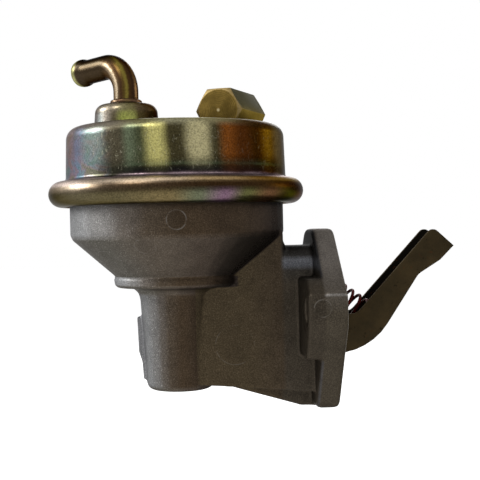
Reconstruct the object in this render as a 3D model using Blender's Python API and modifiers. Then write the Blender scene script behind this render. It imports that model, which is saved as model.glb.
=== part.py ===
"""Mechanical fuel pump: die-cast body, crimped steel cover, folded rocker arm and the diaphragm works.

Metres, +Z up. The origin is on the mounting face, below the arm window. +X points out of the engine
side of that face, and the diaphragm axis is vertical, at x = AXIS_X.
"""

import math

import bmesh
import bpy
from mathutils import Matrix, Vector

# Fits
GAP = 0.0003            # between pieces that touch
RUNNING = 0.0004        # around the pull rod in the casting

# Where things are
FACE_TO_AXIS = 0.0580   # mounting face to diaphragm axis
BOLT_Z = 0.0280         # bolt line above the origin
PIVOT_TO_AXIS = 0.0360  # diaphragm axis to the arm's pivot
PIVOT_Z = 0.0165
CLAMP_Z = 0.0673        # underside of the rolled rim
AXIS_X = -FACE_TO_AXIS
PIVOT_X = AXIS_X + PIVOT_TO_AXIS

# Strokes
ARM_SWING = math.radians(12.0)
ROD_STROKE = PIVOT_TO_AXIS * ARM_SWING

# Rolled joint, from the bottom up
COVER_SHEET = 0.0012
BODY_LIP = 0.00275
DIAPHRAGM_SHEET = 0.0008
VALVE_PLATE_SHEET = 0.0010
SEAL_SHEET = 0.0008
RIM_RADIUS = 0.0480     # the cup, the bowl and the diaphragm's edge follow it
ROLL_INSIDE = 0.0041    # rim's outside to the discs held in the rolled joint
RIM_HEIGHT = 2 * COVER_SHEET + BODY_LIP + DIAPHRAGM_SHEET + VALVE_PLATE_SHEET + SEAL_SHEET + 5 * GAP
LIP_Z = CLAMP_Z + COVER_SHEET + GAP
LIP_TOP = LIP_Z + BODY_LIP
DIAPHRAGM_Z = LIP_TOP + GAP
VALVE_PLATE_Z = DIAPHRAGM_Z + DIAPHRAGM_SHEET + GAP
SEAL_Z = VALVE_PLATE_Z + VALVE_PLATE_SHEET + GAP
RIM_TOP = CLAMP_Z + RIM_HEIGHT
ROLL_RADIUS = RIM_HEIGHT / 2
STACK_RADIUS = RIM_RADIUS - ROLL_INSIDE

# Cover
CUP_SETBACK = 0.0071    # rim's outside to the cup's wall
CUP_RADIUS = RIM_RADIUS - CUP_SETBACK
CUP_DRAFT = 0.0004
CUP_HEIGHT = 0.0200
CUP_CORNER = 0.0047
RIM_CREASE = 0.0014
LIP_RETURN = 0.0016
COVER_TOP = RIM_TOP + CUP_HEIGHT
BOSS_TO_AXIS = 0.0182
BOSS_RADIUS = 0.0118
BOSS_HEIGHT = 0.0089
BOSS_CORNER = 0.0036
BOSS_FOOT = 0.0012
BOSS_TOP = COVER_TOP + BOSS_HEIGHT
BOSS_X = AXIS_X - BOSS_TO_AXIS

# Hose nipple
TUBE_RADIUS = 0.0047
TUBE_BORE = 0.0036
TUBE_RISE = 0.0153      # boss top to the bent leg's axis
BEND_RADIUS = 0.0106
LEG_LENGTH = 0.0262     # upright axis to the bent leg's end
LEG_AZIMUTH = math.radians(133.0)
LEG_DROOP = math.radians(2.5)
BEAD_RADIUS = 0.0057
BEAD_LENGTH = 0.0032
COLLAR_RADIUS = 0.0060
COLLAR_HEIGHT = 0.0014
TUBE_FOOT = 0.0020      # below the boss sheet

# Outlet fitting
HEX_FLATS = 0.0162
HEX_LENGTH = 0.0270
HEX_TO_STUB = 0.0080    # closed end to the stub's axis
HEX_AZIMUTH = math.radians(65.4)
HEX_AXIS_RISE = 0.0056  # axis above the cover
HEX_CHAMFER = 0.0011
PORT_RADIUS = 0.0044
PORT_DEPTH = 0.0112
PORT_SEAT = 0.0018      # height of the cone that the pipe's flare seats on
PORT_BORE = 0.0018
OUTLET_TO_AXIS = 0.0195
OUTLET_X = AXIS_X + OUTLET_TO_AXIS
OUTLET_Y = 0.0003
STUB_RADIUS = 0.0030
STUB_BORE = 0.0020
HEX_Z = COVER_TOP + HEX_AXIS_RISE

# Valves
VALVE_TOP = 0.0122      # valve plate's raised middle above its edge
VALVE_PLATE_INSET = 0.0033  # cup's wall to the foot of the plate's raised middle
VALVE_PLATE_SLOPE = 0.0043
VALVE_PLATE_FOOT = CUP_RADIUS - VALVE_PLATE_INSET
VALVE_PLATE_FLAT = VALVE_PLATE_FOOT - VALVE_PLATE_SLOPE
CAGE_RADIUS = 0.0082
CAGE_HEIGHT = 0.0072
CAGE_WALL = 0.0012
CAGE_FLANGE = 0.0012    # beyond the cage's wall
SEAT_BORE = 0.0045
DISC_RADIUS = 0.0061
DISC_SHEET = 0.0010
VALVE_LIFT = 0.0012
VALVE_WIRE = 0.00018
VALVE_COIL = 0.0030
CHAMBER_SHEET = 0.0008
PLATE_TOP = VALVE_PLATE_Z + VALVE_TOP + VALVE_PLATE_SHEET

# Diaphragm and rod
DOME_SPARE = 0.00026    # dome's rise beyond the stroke
DOME = ROD_STROKE + DOME_SPARE
SPRING_RADIUS = 0.0145
SPRING_WIRE = 0.0011
SPRING_TURNS = 6.5
PLATE_SHEET = 0.0012
PLATE_LIP = 0.0014
ROD_RADIUS = 0.0024
ROD_HEAD = 0.0042
ROD_HEAD_HEIGHT = 0.0015
FOOT_RADIUS = 0.0060
FOOT_HEIGHT = 0.0022
FOOT_WASHER = 0.0010
RETAINER_MARGIN = 0.0020  # spring's middle line to the retainer's upturned edge
RETAINER_RADIUS = SPRING_RADIUS + RETAINER_MARGIN
RETAINER_SHEET = 0.0008
ROD_SEAL_RADIUS = 0.0077
ROD_SEAL_HEIGHT = 0.0037

# Casting
BOWL_SETBACK = 0.00785  # rim's outside to the bowl's wall
BOWL_RADIUS = RIM_RADIUS - BOWL_SETBACK
BOWL_WALL = 0.0033
DOME_SETBACK = 0.00035  # bowl's inside to the foot of the diaphragm's dome
DOME_ROLL = 0.0083      # width of the dome's slope
DOME_REST = 0.0020      # flat of the dome beyond the plates
DOME_FOOT = BOWL_RADIUS - BOWL_WALL - DOME_SETBACK
DOME_FLAT = DOME_FOOT - DOME_ROLL
PLATE_RADIUS = DOME_FLAT - DOME_REST
BOWL_HEIGHT = 0.01195   # rim's underside to the bowl's lower edge
BOWL_EDGE = 0.0012
CONE_FOOT = 0.0231
CONE_HEIGHT = 0.0151
CONE_WALL = 0.0032
RING_PROUD = 0.0012
RING_RADIUS = CONE_FOOT + RING_PROUD
RING_HEIGHT = 0.0037
STEM_TOP = 0.0146
STEM_FOOT = 0.0128
STEM_HEIGHT = 0.0388
STEM_FILLET = 0.0046
STEM_EDGE = 0.0029
STEM_WALL = 0.0042
STEM_FLOOR = 0.0030
HUB_WEB = 0.0082        # spring floor to the stem's cavity
HUB_RISE = 0.0013       # spring floor above the cone's foot
CONE_TOP = CLAMP_Z - BOWL_HEIGHT
RING_TOP = CONE_TOP - CONE_HEIGHT
RING_FOOT = RING_TOP - RING_HEIGHT
STEM_BOTTOM = RING_FOOT - STEM_HEIGHT
SPRING_FLOOR = RING_TOP + HUB_RISE
STEM_CEILING = SPRING_FLOOR - HUB_WEB

# Mounting flange
FLANGE_SHEET = 0.0074
EAR_THICKNESS = 0.0140
BOLT_SPACING = 0.0650
BOLT_HOLE = 0.0052
EAR_MARGIN = 0.0097     # bolt axis to the ear's flat end
SPOT_FACE = 0.0076
SPOT_DEPTH = 0.0005
FLANGE_ABOVE = 0.0291   # from the bolt line
FLANGE_BELOW = 0.0381
FLANGE_TOP = BOLT_Z + FLANGE_ABOVE
FLANGE_BOTTOM = BOLT_Z - FLANGE_BELOW
FLANGE_SHOULDER = 0.0107
FLANGE_FOOT = 0.0165
EAR_INSET = 0.0003      # step between the plate's edge and what stands behind it
EAR_ABOVE = 0.0066      # the ear's flat end, from the bolt line
EAR_BELOW = 0.0050
EAR_TOP = BOLT_Z + EAR_ABOVE
EAR_BOTTOM = BOLT_Z - EAR_BELOW
EAR_BOSS_ABOVE = 0.0115
EAR_BOSS_BELOW = 0.0172
CAST_EDGE = 0.0016

# Arm housing
HOUSING_AT_AXIS = 0.0106  # half-width on the diaphragm axis
HOUSING_FLARE = 0.095     # growth of the half-width towards the flange
HOUSING_TALL = 0.0387     # reach of the tall part from the diaphragm axis
NECK_DROP = 0.0061        # flange's top to the neck's
NECK_TOP = FLANGE_TOP - NECK_DROP
NECK_EDGE = 0.0060
HOUSING_RISE = 0.0026     # housing's bottom above the stem's
HOUSING_BOTTOM = STEM_BOTTOM + HOUSING_RISE
HOUSING_FALL = 0.0034     # drop of the bottom from stem to flange
HOUSING_EDGE = 0.0022
GUSSET_HALF = 0.0036
GUSSET_START = 0.0160
RIDGE_HALF = 0.0022
RIDGE_PROUD = 0.0019

# Arm, from its pivot
ARM_HALF = 0.00815
ARM_SHEET = 0.00185
ARM_BEND = 0.0021
ARM_BOTTOM = -0.0064
ARM_TOP = 0.0083
ARM_BOSS = 0.0070
ARM_HOOK_X = 0.0350
ARM_HOOK_RADIUS = 0.0240
ARM_CORNER_X = 0.0306
ARM_NECK = (0.0543, 0.0227)
ARM_PAD = (0.0626, 0.0278)
ARM_TIP = (0.0679, 0.0331)
ARM_CREST = (0.0601, 0.0403)
WEB_START = 0.0060
PIN_RADIUS = 0.0040
PIN_BLIND = 0.0018        # metal left outside the pin's closed end
PIN_RECESS = 0.0006
CHAMBER_HALF = 0.0099
CHAMBER_DEPTH = 0.0125    # pivot to the chamber's floor
CHAMBER_FLOOR = PIVOT_Z - CHAMBER_DEPTH
PASSAGE_HALF = 0.0086
THRUST_RADIUS = 0.0080
SPACER_RADIUS = 0.0062

# Link
LINK_GAP_HALF = 0.0028
LINK_SHEET = 0.0018
LINK_PAD = 0.0032
LINK_BOSS = 0.0070
LINK_HEEL = 0.0160        # reach beyond the pivot

# Return spring
RETURN_RADIUS = 0.0040
RETURN_WIRE = 0.0005
RETURN_TURNS = 12
RETURN_LENGTH = 0.0384
RETURN_SLOPE = math.radians(35.5)
SEAT_ABOVE = 0.0052
SEAT_BELOW = 0.0065

MAIN_STEPS = 44
SMALL_STEPS = 20


def new_collection(name):
    collection = bpy.data.collections.new(name)
    bpy.context.scene.collection.children.link(collection)
    return collection


def clear_scene():
    for obj in list(bpy.data.objects):
        bpy.data.objects.remove(obj)


clear_scene()
PUMP = new_collection("mechanical_fuel_pump")
CUTTERS = new_collection("cutters")


def add_object(name, mesh, collection=PUMP):
    obj = bpy.data.objects.new(name, mesh)
    collection.objects.link(obj)
    return obj


def as_cutter(obj):
    """Takes a helper out of the render and draws it as wire."""
    for collection in list(obj.users_collection):
        collection.objects.unlink(obj)
    CUTTERS.objects.link(obj)
    obj.hide_render = True
    obj.display_type = "WIRE"
    return obj


def paint(obj, color, roughness, metallic):
    material = bpy.data.materials.new(obj.name)
    material.use_nodes = True
    shader = material.node_tree.nodes["Principled BSDF"]
    shader.inputs["Base Color"].default_value = (*color, 1.0)
    shader.inputs["Roughness"].default_value = roughness
    shader.inputs["Metallic"].default_value = metallic
    obj.data.materials.clear()
    obj.data.materials.append(material)
    return obj


def smooth(obj, angle=35.0):
    obj.data.shade_smooth()
    obj.data.set_sharp_from_angle(angle=math.radians(angle))
    return obj


def rounded(corners, segments=4):
    """A closed outline from corners (u, v, radius), each rounded by an arc of its radius."""
    points = []
    count = len(corners)
    for index, (u, v, radius) in enumerate(corners):
        corner = Vector((u, v))
        before = Vector(corners[index - 1][:2]) - corner
        after = Vector(corners[(index + 1) % count][:2]) - corner
        if radius <= 0:
            points.append(corner)
            continue
        before.normalize()
        after.normalize()
        half = before.angle(after) / 2
        reach = radius / math.tan(half)
        centre = corner + (before + after).normalized() * (radius / math.sin(half))
        start = corner + before * reach - centre
        sweep = (corner + after * reach - centre).angle_signed(start)
        for step in range(segments + 1):
            turn = sweep * step / segments
            points.append(centre + Matrix.Rotation(turn, 2) @ start)
    return [tuple(point) for point in points]


def prism(name, outline, low, high, plane="XZ"):
    """A flat outline made solid between two levels of the axis that its plane leaves out."""
    bm = bmesh.new()
    if plane == "XZ":
        verts = [bm.verts.new((u, low, v)) for u, v in outline]
        move = (0, high - low, 0)
    else:
        verts = [bm.verts.new((low, u, v)) for u, v in outline]
        move = (high - low, 0, 0)
    face = bm.faces.new(verts)
    grown = bmesh.ops.extrude_face_region(bm, geom=[face])
    moved = [item for item in grown["geom"] if isinstance(item, bmesh.types.BMVert)]
    bmesh.ops.translate(bm, verts=moved, vec=move)
    bmesh.ops.recalc_face_normals(bm, faces=bm.faces)
    mesh = bpy.data.meshes.new(name)
    bm.to_mesh(mesh)
    bm.free()
    return add_object(name, mesh)


def turned(name, profile, x=0.0, y=0.0, steps=MAIN_STEPS, closed=False):
    """A solid of revolution about a vertical axis. The profile runs down the outer side."""
    mesh = bpy.data.meshes.new(name)
    edges = [(i, i + 1) for i in range(len(profile) - 1)]
    if closed:
        edges.append((len(profile) - 1, 0))
    mesh.from_pydata([(r, 0, z) for r, z in profile], edges, [])
    obj = add_object(name, mesh)
    obj.location = (x, y, 0)
    screw = obj.modifiers.new("turn", "SCREW")
    screw.steps = screw.render_steps = steps
    screw.use_merge_vertices = True
    screw.merge_threshold = 0.00001
    return obj


def frozen(obj):
    """Replaces an object by the mesh that its modifiers make, in world space."""
    graph = bpy.context.evaluated_depsgraph_get()
    graph.update()
    mesh = bpy.data.meshes.new_from_object(obj.evaluated_get(graph))
    mesh.transform(obj.matrix_world)
    bm = bmesh.new()
    bm.from_mesh(mesh)
    bmesh.ops.remove_doubles(bm, verts=bm.verts, dist=0.000001)
    bm.to_mesh(mesh)
    bm.free()
    name = obj.name
    bpy.data.objects.remove(obj)
    return add_object(name, mesh)


def combine(obj, other, operation):
    tool = as_cutter(other)
    modifier = obj.modifiers.new(f"{operation.lower()} {other.name}", "BOOLEAN")
    modifier.operation = operation
    modifier.solver = "EXACT"
    modifier.object = tool
    return obj


def cut(obj, *cutters):
    for cutter in cutters:
        combine(obj, cutter, "DIFFERENCE")
    return obj


def join(obj, *others):
    for other in others:
        combine(obj, other, "UNION")
    return obj


def bevelled(obj, width, segments=2, angle=40.0):
    modifier = obj.modifiers.new("edges", "BEVEL")
    modifier.width = width
    modifier.segments = segments
    modifier.limit_method = "ANGLE"
    modifier.angle_limit = math.radians(angle)
    return obj


def cylinder(name, radius, low, high, x=0.0, y=0.0, steps=SMALL_STEPS):
    return turned(name, [(0, high), (radius, high), (radius, low), (0, low)], x, y, steps)


def laid(obj, direction, place):
    """Turns a piece made about +Z so that +Z lies along a direction, then puts its origin in place."""
    obj.rotation_euler = Vector(direction).to_track_quat("Z", "Y").to_euler()
    obj.location = place
    return obj


def ring(name, inner, outer, low, high, x=0.0, y=0.0, steps=SMALL_STEPS):
    profile = [(inner, high), (outer, high), (outer, low), (inner, low)]
    return turned(name, profile, x, y, steps, closed=True)


def tube_along(name, points, radius, sides=6, scales=None):
    """A round bar along a line of points, its radius scaled at each."""
    curve = bpy.data.curves.new(name, "CURVE")
    curve.dimensions = "3D"
    curve.bevel_depth = radius
    curve.bevel_resolution = (sides - 4) // 2
    curve.use_fill_caps = True
    spline = curve.splines.new("POLY")
    spline.points.add(len(points) - 1)
    for index, point in enumerate(points):
        spline.points[index].co = (*point, 1)
        spline.points[index].radius = scales[index] if scales else 1.0
    return frozen(add_object(name, curve))


def coil_points(radius, wire, length, turns, per_turn):
    """Centre line of a compression spring about +Z, with closed end turns."""
    end_rise = 2.3 * wire
    middle_rise = length - 2 * wire - 2 * end_rise
    points = []
    count = int(turns * per_turn)
    for step in range(count + 1):
        turn = turns * step / count
        first = min(turn, 1.0)
        last = max(0.0, turn - (turns - 1.0))
        middle = (turn - first - last) / (turns - 2.0)
        height = wire + end_rise * (first + last) + middle_rise * middle
        angle = 2 * math.pi * turn
        points.append(Vector((radius * math.cos(angle), radius * math.sin(angle), height)))
    return points


def housing_half(x):
    """Outer half-width of the arm housing at a distance from the diaphragm axis."""
    return HOUSING_AT_AXIS + HOUSING_FLARE * x


def on_line(a, b, v):
    """The first coordinate where the line from a to b reaches the second coordinate v."""
    share = (v - a[1]) / (b[1] - a[1])
    return a[0] + share * (b[0] - a[0])


def mirrored(half):
    """A whole outline from its corners on the +Y side, which run from top to bottom."""
    return half + [(-u, v, radius) for u, v, radius in reversed(half)]


def flange_corners():
    end = BOLT_SPACING / 2 + EAR_MARGIN
    return mirrored([
        (FLANGE_SHOULDER, FLANGE_TOP, 0.0090),
        (end, EAR_TOP, 0.0022),
        (end, EAR_BOTTOM, 0.0080),
        (FLANGE_FOOT, FLANGE_BOTTOM, 0.0075),
    ])


def ear_corners():
    """The thick part of the flange: its outline between two levels, around both bolts."""
    end = BOLT_SPACING / 2 + EAR_MARGIN - EAR_INSET
    top = BOLT_Z + EAR_BOSS_ABOVE
    bottom = BOLT_Z - EAR_BOSS_BELOW
    shoulder = on_line((FLANGE_SHOULDER, FLANGE_TOP), (end, EAR_TOP), top)
    foot = on_line((FLANGE_FOOT, FLANGE_BOTTOM), (end, EAR_BOTTOM), bottom)
    return mirrored([
        (shoulder - EAR_INSET, top, 0.0022),
        (end, EAR_TOP - EAR_INSET, 0.0022),
        (end, EAR_BOTTOM + EAR_INSET, 0.0080),
        (foot - EAR_INSET, bottom, 0.0022),
    ])


def casting_turned():
    """Bowl, cone, ring and stem as one turned solid."""
    slope = Vector((CONE_FOOT - BOWL_RADIUS, -CONE_HEIGHT)).normalized()
    profile = [
        (0, LIP_TOP),
        (STACK_RADIUS, LIP_TOP),
        (STACK_RADIUS, LIP_Z),
        (BOWL_RADIUS + 0.0008, LIP_Z),
        (BOWL_RADIUS, LIP_Z - 0.0008),
        (BOWL_RADIUS, CONE_TOP + BOWL_EDGE),
        (BOWL_RADIUS - 0.00035, CONE_TOP + 0.00035),
        (BOWL_RADIUS + slope.x * BOWL_EDGE, CONE_TOP + slope.y * BOWL_EDGE),
        (CONE_FOOT + 0.0006, RING_TOP + 0.0005),
        (RING_RADIUS - 0.0004, RING_TOP),
        (RING_RADIUS, RING_TOP - 0.0006),
        (RING_RADIUS - 0.0003, RING_FOOT + 0.0010),
        (RING_RADIUS - 0.0015, RING_FOOT),
    ]
    for step in range(4):
        turn = math.pi / 2 * step / 3
        profile.append((
            STEM_TOP + STEM_FILLET * (1 - math.sin(turn)),
            RING_FOOT - STEM_FILLET * (1 - math.cos(turn)),
        ))
    for step in range(4):
        turn = math.pi / 2 * step / 3
        profile.append((
            STEM_FOOT - STEM_EDGE * (1 - math.cos(turn)),
            STEM_BOTTOM + STEM_EDGE * (1 - math.sin(turn)),
        ))
    profile.append((0, STEM_BOTTOM))
    return turned("body_casting", profile, AXIS_X)


def casting_housing():
    """The arm housing: a tall part under the bowl and a lower neck to the flange, flared in plan."""
    tall = AXIS_X + HOUSING_TALL
    end = -FLANGE_SHEET / 2
    corners = [
        (AXIS_X + 0.004, CONE_TOP + 0.0010, 0),
        (tall, CONE_TOP + 0.0010, 0),
        (tall, NECK_TOP, 0.0020),
        (end, NECK_TOP, 0),
        (end, HOUSING_BOTTOM - HOUSING_FALL, 0),
        (AXIS_X + 0.004, HOUSING_BOTTOM, 0),
    ]
    block = prism("housing_block", rounded(corners), -1.0, 1.0)
    for vertex in block.data.vertices:
        vertex.co.y = math.copysign(housing_half(vertex.co.x - AXIS_X), vertex.co.y)
    soften = block.data.attributes.new("bevel_weight_edge", "FLOAT", "EDGE")
    for edge in block.data.edges:
        a, b = (block.data.vertices[i].co for i in edge.vertices)
        if a.y * b.y < 0:
            continue
        if max(a.z, b.z) < HOUSING_BOTTOM + 0.0001:
            soften.data[edge.index].value = HOUSING_EDGE / NECK_EDGE
        elif min(a.x, b.x) > tall - 0.0001 and min(a.z, b.z) > NECK_TOP - 0.0001:
            soften.data[edge.index].value = 1.0 if max(a.z, b.z) < NECK_TOP + 0.0001 else 0.4
    modifier = block.modifiers.new("edges", "BEVEL")
    modifier.limit_method = "WEIGHT"
    modifier.width = NECK_EDGE
    modifier.segments = 3
    return block


def casting_gusset():
    """The web under the housing, from the stem to the flange's foot."""
    start = AXIS_X + GUSSET_START
    end = -FLANGE_SHEET / 2
    corners = [
        (start, HOUSING_BOTTOM + 0.003, 0),
        (end, HOUSING_BOTTOM + 0.003, 0),
        (end, FLANGE_BOTTOM + EAR_INSET, 0),
        (-FLANGE_SHEET - 0.0010, FLANGE_BOTTOM + EAR_INSET, 0),
        (start, HOUSING_BOTTOM - 0.0012, 0),
    ]
    return prism("gusset", rounded(corners), -GUSSET_HALF, GUSSET_HALF)


def casting_ridge():
    """The trimmed gate mark down the stem's outer side."""
    skin = AXIS_X - STEM_FOOT
    top = STEM_BOTTOM + 0.0276
    corners = [
        (skin + 0.003, top, 0),
        (skin - RIDGE_PROUD - 0.0012, top, 0),
        (skin - RIDGE_PROUD - 0.0008, top - 0.0130, 0),
        (skin - RIDGE_PROUD + 0.0004, top - 0.0170, 0),
        (skin - RIDGE_PROUD + 0.0008, top - 0.0235, 0),
        (skin + 0.003, top - 0.0235, 0),
    ]
    return prism("gate_ridge", rounded(corners), -RIDGE_HALF, RIDGE_HALF)


def bowl_core():
    """The hollow of the bowl and cone, with the pocket of the rod seal."""
    normal = Vector((-CONE_HEIGHT, BOWL_RADIUS - CONE_FOOT)).normalized() * CONE_WALL
    upper = (BOWL_RADIUS + normal.x, CONE_TOP + normal.y)
    lower = (CONE_FOOT + normal.x, RING_TOP + normal.y)
    inside = BOWL_RADIUS - BOWL_WALL
    shoulder = upper[1] + (inside - upper[0]) * CONE_HEIGHT / (BOWL_RADIUS - CONE_FOOT)
    pocket = ROD_SEAL_RADIUS + GAP
    seal_floor = SPRING_FLOOR - ROD_SEAL_HEIGHT - GAP
    bore = ROD_RADIUS + RUNNING
    return turned("bowl_core", [
        (0, LIP_TOP + 0.005),
        (inside, LIP_TOP + 0.005),
        (inside, shoulder),
        (on_line(upper, lower, SPRING_FLOOR), SPRING_FLOOR),
        (pocket, SPRING_FLOOR),
        (pocket, seal_floor),
        (bore, seal_floor),
        (bore, STEM_CEILING - 0.002),
        (0, STEM_CEILING - 0.002),
    ], AXIS_X, steps=40)


def stem_core():
    foot = STEM_FOOT - STEM_WALL
    floor = STEM_BOTTOM + STEM_FLOOR
    return turned("stem_core", [
        (0, STEM_CEILING),
        (STEM_TOP - STEM_WALL, STEM_CEILING),
        (foot, floor + 0.0015),
        (foot - 0.0015, floor),
        (0, floor),
    ], AXIS_X, steps=32)


def return_spring_ends():
    """The centres of the spring's seats on the arm and in the casting, and the way from casting to arm."""
    centre = Vector((ARM_HOOK_X - ARM_HOOK_RADIUS * math.tan(hook_turn() / 2), ARM_BOTTOM + ARM_HOOK_RADIUS))
    way = Vector((math.cos(RETURN_SLOPE), -math.sin(RETURN_SLOPE)))
    on_arm = centre + way * (ARM_HOOK_RADIUS - ARM_SHEET)
    on_arm += Vector((PIVOT_X, PIVOT_Z))
    in_body = on_arm - way * RETURN_LENGTH
    return on_arm, in_body, way


def hook_turn():
    """The angle through which the arm's underside turns up at its hook."""
    return math.atan2(ARM_NECK[1] - ARM_BOTTOM, ARM_NECK[0] - ARM_HOOK_X)


def chamber_core():
    """The space for the arm, open at the mounting face. One facet of its roof is the spring's seat."""
    _, seat, way = return_spring_ends()
    along = Vector((-way.y, way.x))
    seat_low = seat - along * SEAT_BELOW
    seat_high = seat + along * SEAT_ABOVE
    sill = PIVOT_Z + ARM_BOTTOM - GAP
    outside = 0.003
    corners = [
        (PIVOT_X - 0.0160, STEM_CEILING, 0),
        (seat_low.x - 0.0040, STEM_CEILING, 0.0020),
        (seat_low.x, seat_low.y, 0),
        (seat_high.x, seat_high.y, 0.0008),
        (outside, seat_high.y - 0.0043, 0),
        (outside, sill, 0),
        (-FLANGE_SHEET, sill, 0.0015),
        (-FLANGE_SHEET - 0.0030, CHAMBER_FLOOR, 0.0030),
        (PIVOT_X - 0.0160, CHAMBER_FLOOR, 0),
    ]
    return prism("chamber_core", rounded(corners, 3), -CHAMBER_HALF, CHAMBER_HALF)


def passage_core():
    """The way for the link from the arm's chamber into the stem."""
    corners = [
        (AXIS_X, STEM_CEILING, 0),
        (PIVOT_X - 0.0150, STEM_CEILING, 0),
        (PIVOT_X - 0.0150, CHAMBER_FLOOR, 0),
        (AXIS_X, CHAMBER_FLOOR, 0),
    ]
    return prism("passage_core", rounded(corners), -PASSAGE_HALF, PASSAGE_HALF)


def pin_bore():
    half = housing_half(PIVOT_TO_AXIS)
    return laid(
        cylinder("pin_bore", PIN_RADIUS + GAP, PIN_BLIND - half, 2 * half),
        (0, 1, 0), (PIVOT_X, 0, PIVOT_Z),
    )


def bolt_cutters(side):
    place = (0, side * BOLT_SPACING / 2, BOLT_Z)
    hole = laid(cylinder(f"bolt_hole_{side}", BOLT_HOLE, -2 * EAR_THICKNESS, EAR_THICKNESS), (1, 0, 0), place)
    face = -EAR_THICKNESS
    spot = laid(
        cylinder(f"spot_face_{side}", SPOT_FACE, face - SPOT_FACE, face + SPOT_DEPTH),
        (1, 0, 0), place,
    )
    return hole, spot


def body_casting():
    body = casting_turned()
    flange = bevelled(
        prism("flange_plate", rounded(flange_corners(), 5), -FLANGE_SHEET, 0.0, "YZ"), CAST_EDGE)
    ears = bevelled(
        prism("ear_bosses", rounded(ear_corners(), 3), -EAR_THICKNESS, -0.0020, "YZ"), CAST_EDGE)
    join(body, casting_housing(), casting_gusset(), casting_ridge(), flange, ears)
    cut(body, bowl_core(), stem_core(), chamber_core(), passage_core(), pin_bore())
    for side in (-1, 1):
        cut(body, *bolt_cutters(side))
    return paint(body, (0.36, 0.34, 0.31), 0.55, 0.85)


def rim_arc(radius, start, stop, steps):
    """Points of the rolled rim's section, as angles from +X in the section."""
    centre = (RIM_RADIUS - ROLL_RADIUS, CLAMP_Z + ROLL_RADIUS)
    for step in range(steps + 1):
        turn = start + (stop - start) * step / steps
        yield centre[0] + radius * math.cos(turn), centre[1] + radius * math.sin(turn)


def quarter(centre, radius, steps=3):
    """A quarter arc from straight up to straight out."""
    for step in range(steps + 1):
        turn = math.pi / 2 * (1 - step / steps)
        yield centre[0] + radius * math.cos(turn), centre[1] + radius * math.sin(turn)


def top_cover():
    wall_foot = CUP_RADIUS + CUP_DRAFT
    corner = (CUP_RADIUS - CUP_CORNER, COVER_TOP - CUP_CORNER)
    lip = CUP_RADIUS + CUP_DRAFT + LIP_RETURN - 0.0010
    outer = [(0, COVER_TOP), *quarter(corner, CUP_CORNER)]
    outer += [
        (wall_foot, RIM_TOP + RIM_CREASE),
        (wall_foot + 0.3 * RIM_CREASE, RIM_TOP + 0.3 * RIM_CREASE),
        (wall_foot + RIM_CREASE, RIM_TOP),
        *rim_arc(ROLL_RADIUS, math.pi / 2, -math.pi / 2, 7),
        (lip, CLAMP_Z),
        (0, CLAMP_Z),
    ]
    inner_wall = wall_foot - COVER_SHEET
    inner = [(0, COVER_TOP - COVER_SHEET), *quarter(corner, CUP_CORNER - COVER_SHEET, 2)]
    inner += [
        (inner_wall, RIM_TOP + RIM_CREASE - COVER_SHEET),
        (inner_wall + RIM_CREASE, RIM_TOP - COVER_SHEET),
        *rim_arc(ROLL_RADIUS - COVER_SHEET, math.pi / 2, -math.pi / 2, 6),
        (lip, CLAMP_Z + COVER_SHEET),
        (lip, CLAMP_Z - 0.002),
        (0, CLAMP_Z - 0.002),
    ]
    boss_corner = (BOSS_RADIUS - BOSS_CORNER, BOSS_TOP - BOSS_CORNER)
    foot = BOSS_RADIUS + 0.0003
    boss = turned("boss_outside", [
        (0, BOSS_TOP), *quarter(boss_corner, BOSS_CORNER),
        (foot, COVER_TOP + BOSS_FOOT),
        (foot + 0.3 * BOSS_FOOT, COVER_TOP + 0.3 * BOSS_FOOT),
        (foot + BOSS_FOOT, COVER_TOP - 0.0001),
        (foot + BOSS_FOOT, COVER_TOP - COVER_SHEET / 2),
        (0, COVER_TOP - COVER_SHEET / 2),
    ], BOSS_X, steps=24)
    boss_hollow = turned("boss_inside", [
        (0, BOSS_TOP - COVER_SHEET), *quarter(boss_corner, BOSS_CORNER - COVER_SHEET, 2),
        (BOSS_RADIUS - COVER_SHEET, COVER_TOP - COVER_SHEET - 0.002),
        (0, COVER_TOP - COVER_SHEET - 0.002),
    ], BOSS_X, steps=24)
    cover = turned("top_cover", outer, AXIS_X)
    join(cover, boss)
    cut(
        cover,
        turned("cup_inside", inner, AXIS_X),
        boss_hollow,
        cylinder("nipple_hole", TUBE_RADIUS + GAP, BOSS_TOP - 0.005, BOSS_TOP + 0.005, BOSS_X),
        cylinder("stub_hole", STUB_RADIUS + GAP, COVER_TOP - 0.005, COVER_TOP + 0.005, OUTLET_X, OUTLET_Y),
    )
    return paint(cover, (0.62, 0.55, 0.34), 0.28, 1.0)


def nipple_place(distance):
    """A point of the nipple's centre line, from the foot up, round the bend and out along the leg."""
    foot = BOSS_TOP - COVER_SHEET - TUBE_FOOT
    leg_z = BOSS_TOP + TUBE_RISE
    bend_turn = math.pi / 2 + LEG_DROOP
    upright = leg_z - foot - BEND_RADIUS
    out = Vector((math.cos(LEG_AZIMUTH), math.sin(LEG_AZIMUTH), 0))
    base = Vector((BOSS_X, 0, foot))
    if distance <= upright:
        return base + Vector((0, 0, distance))
    start = base + Vector((0, 0, upright))
    turn = min((distance - upright) / BEND_RADIUS, bend_turn)
    point = start + out * BEND_RADIUS * (1 - math.cos(turn)) + Vector((0, 0, BEND_RADIUS * math.sin(turn)))
    rest = distance - upright - BEND_RADIUS * bend_turn
    if rest > 0:
        heading = out * math.cos(LEG_DROOP) - Vector((0, 0, math.sin(LEG_DROOP)))
        point += heading * rest
    return point


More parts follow.
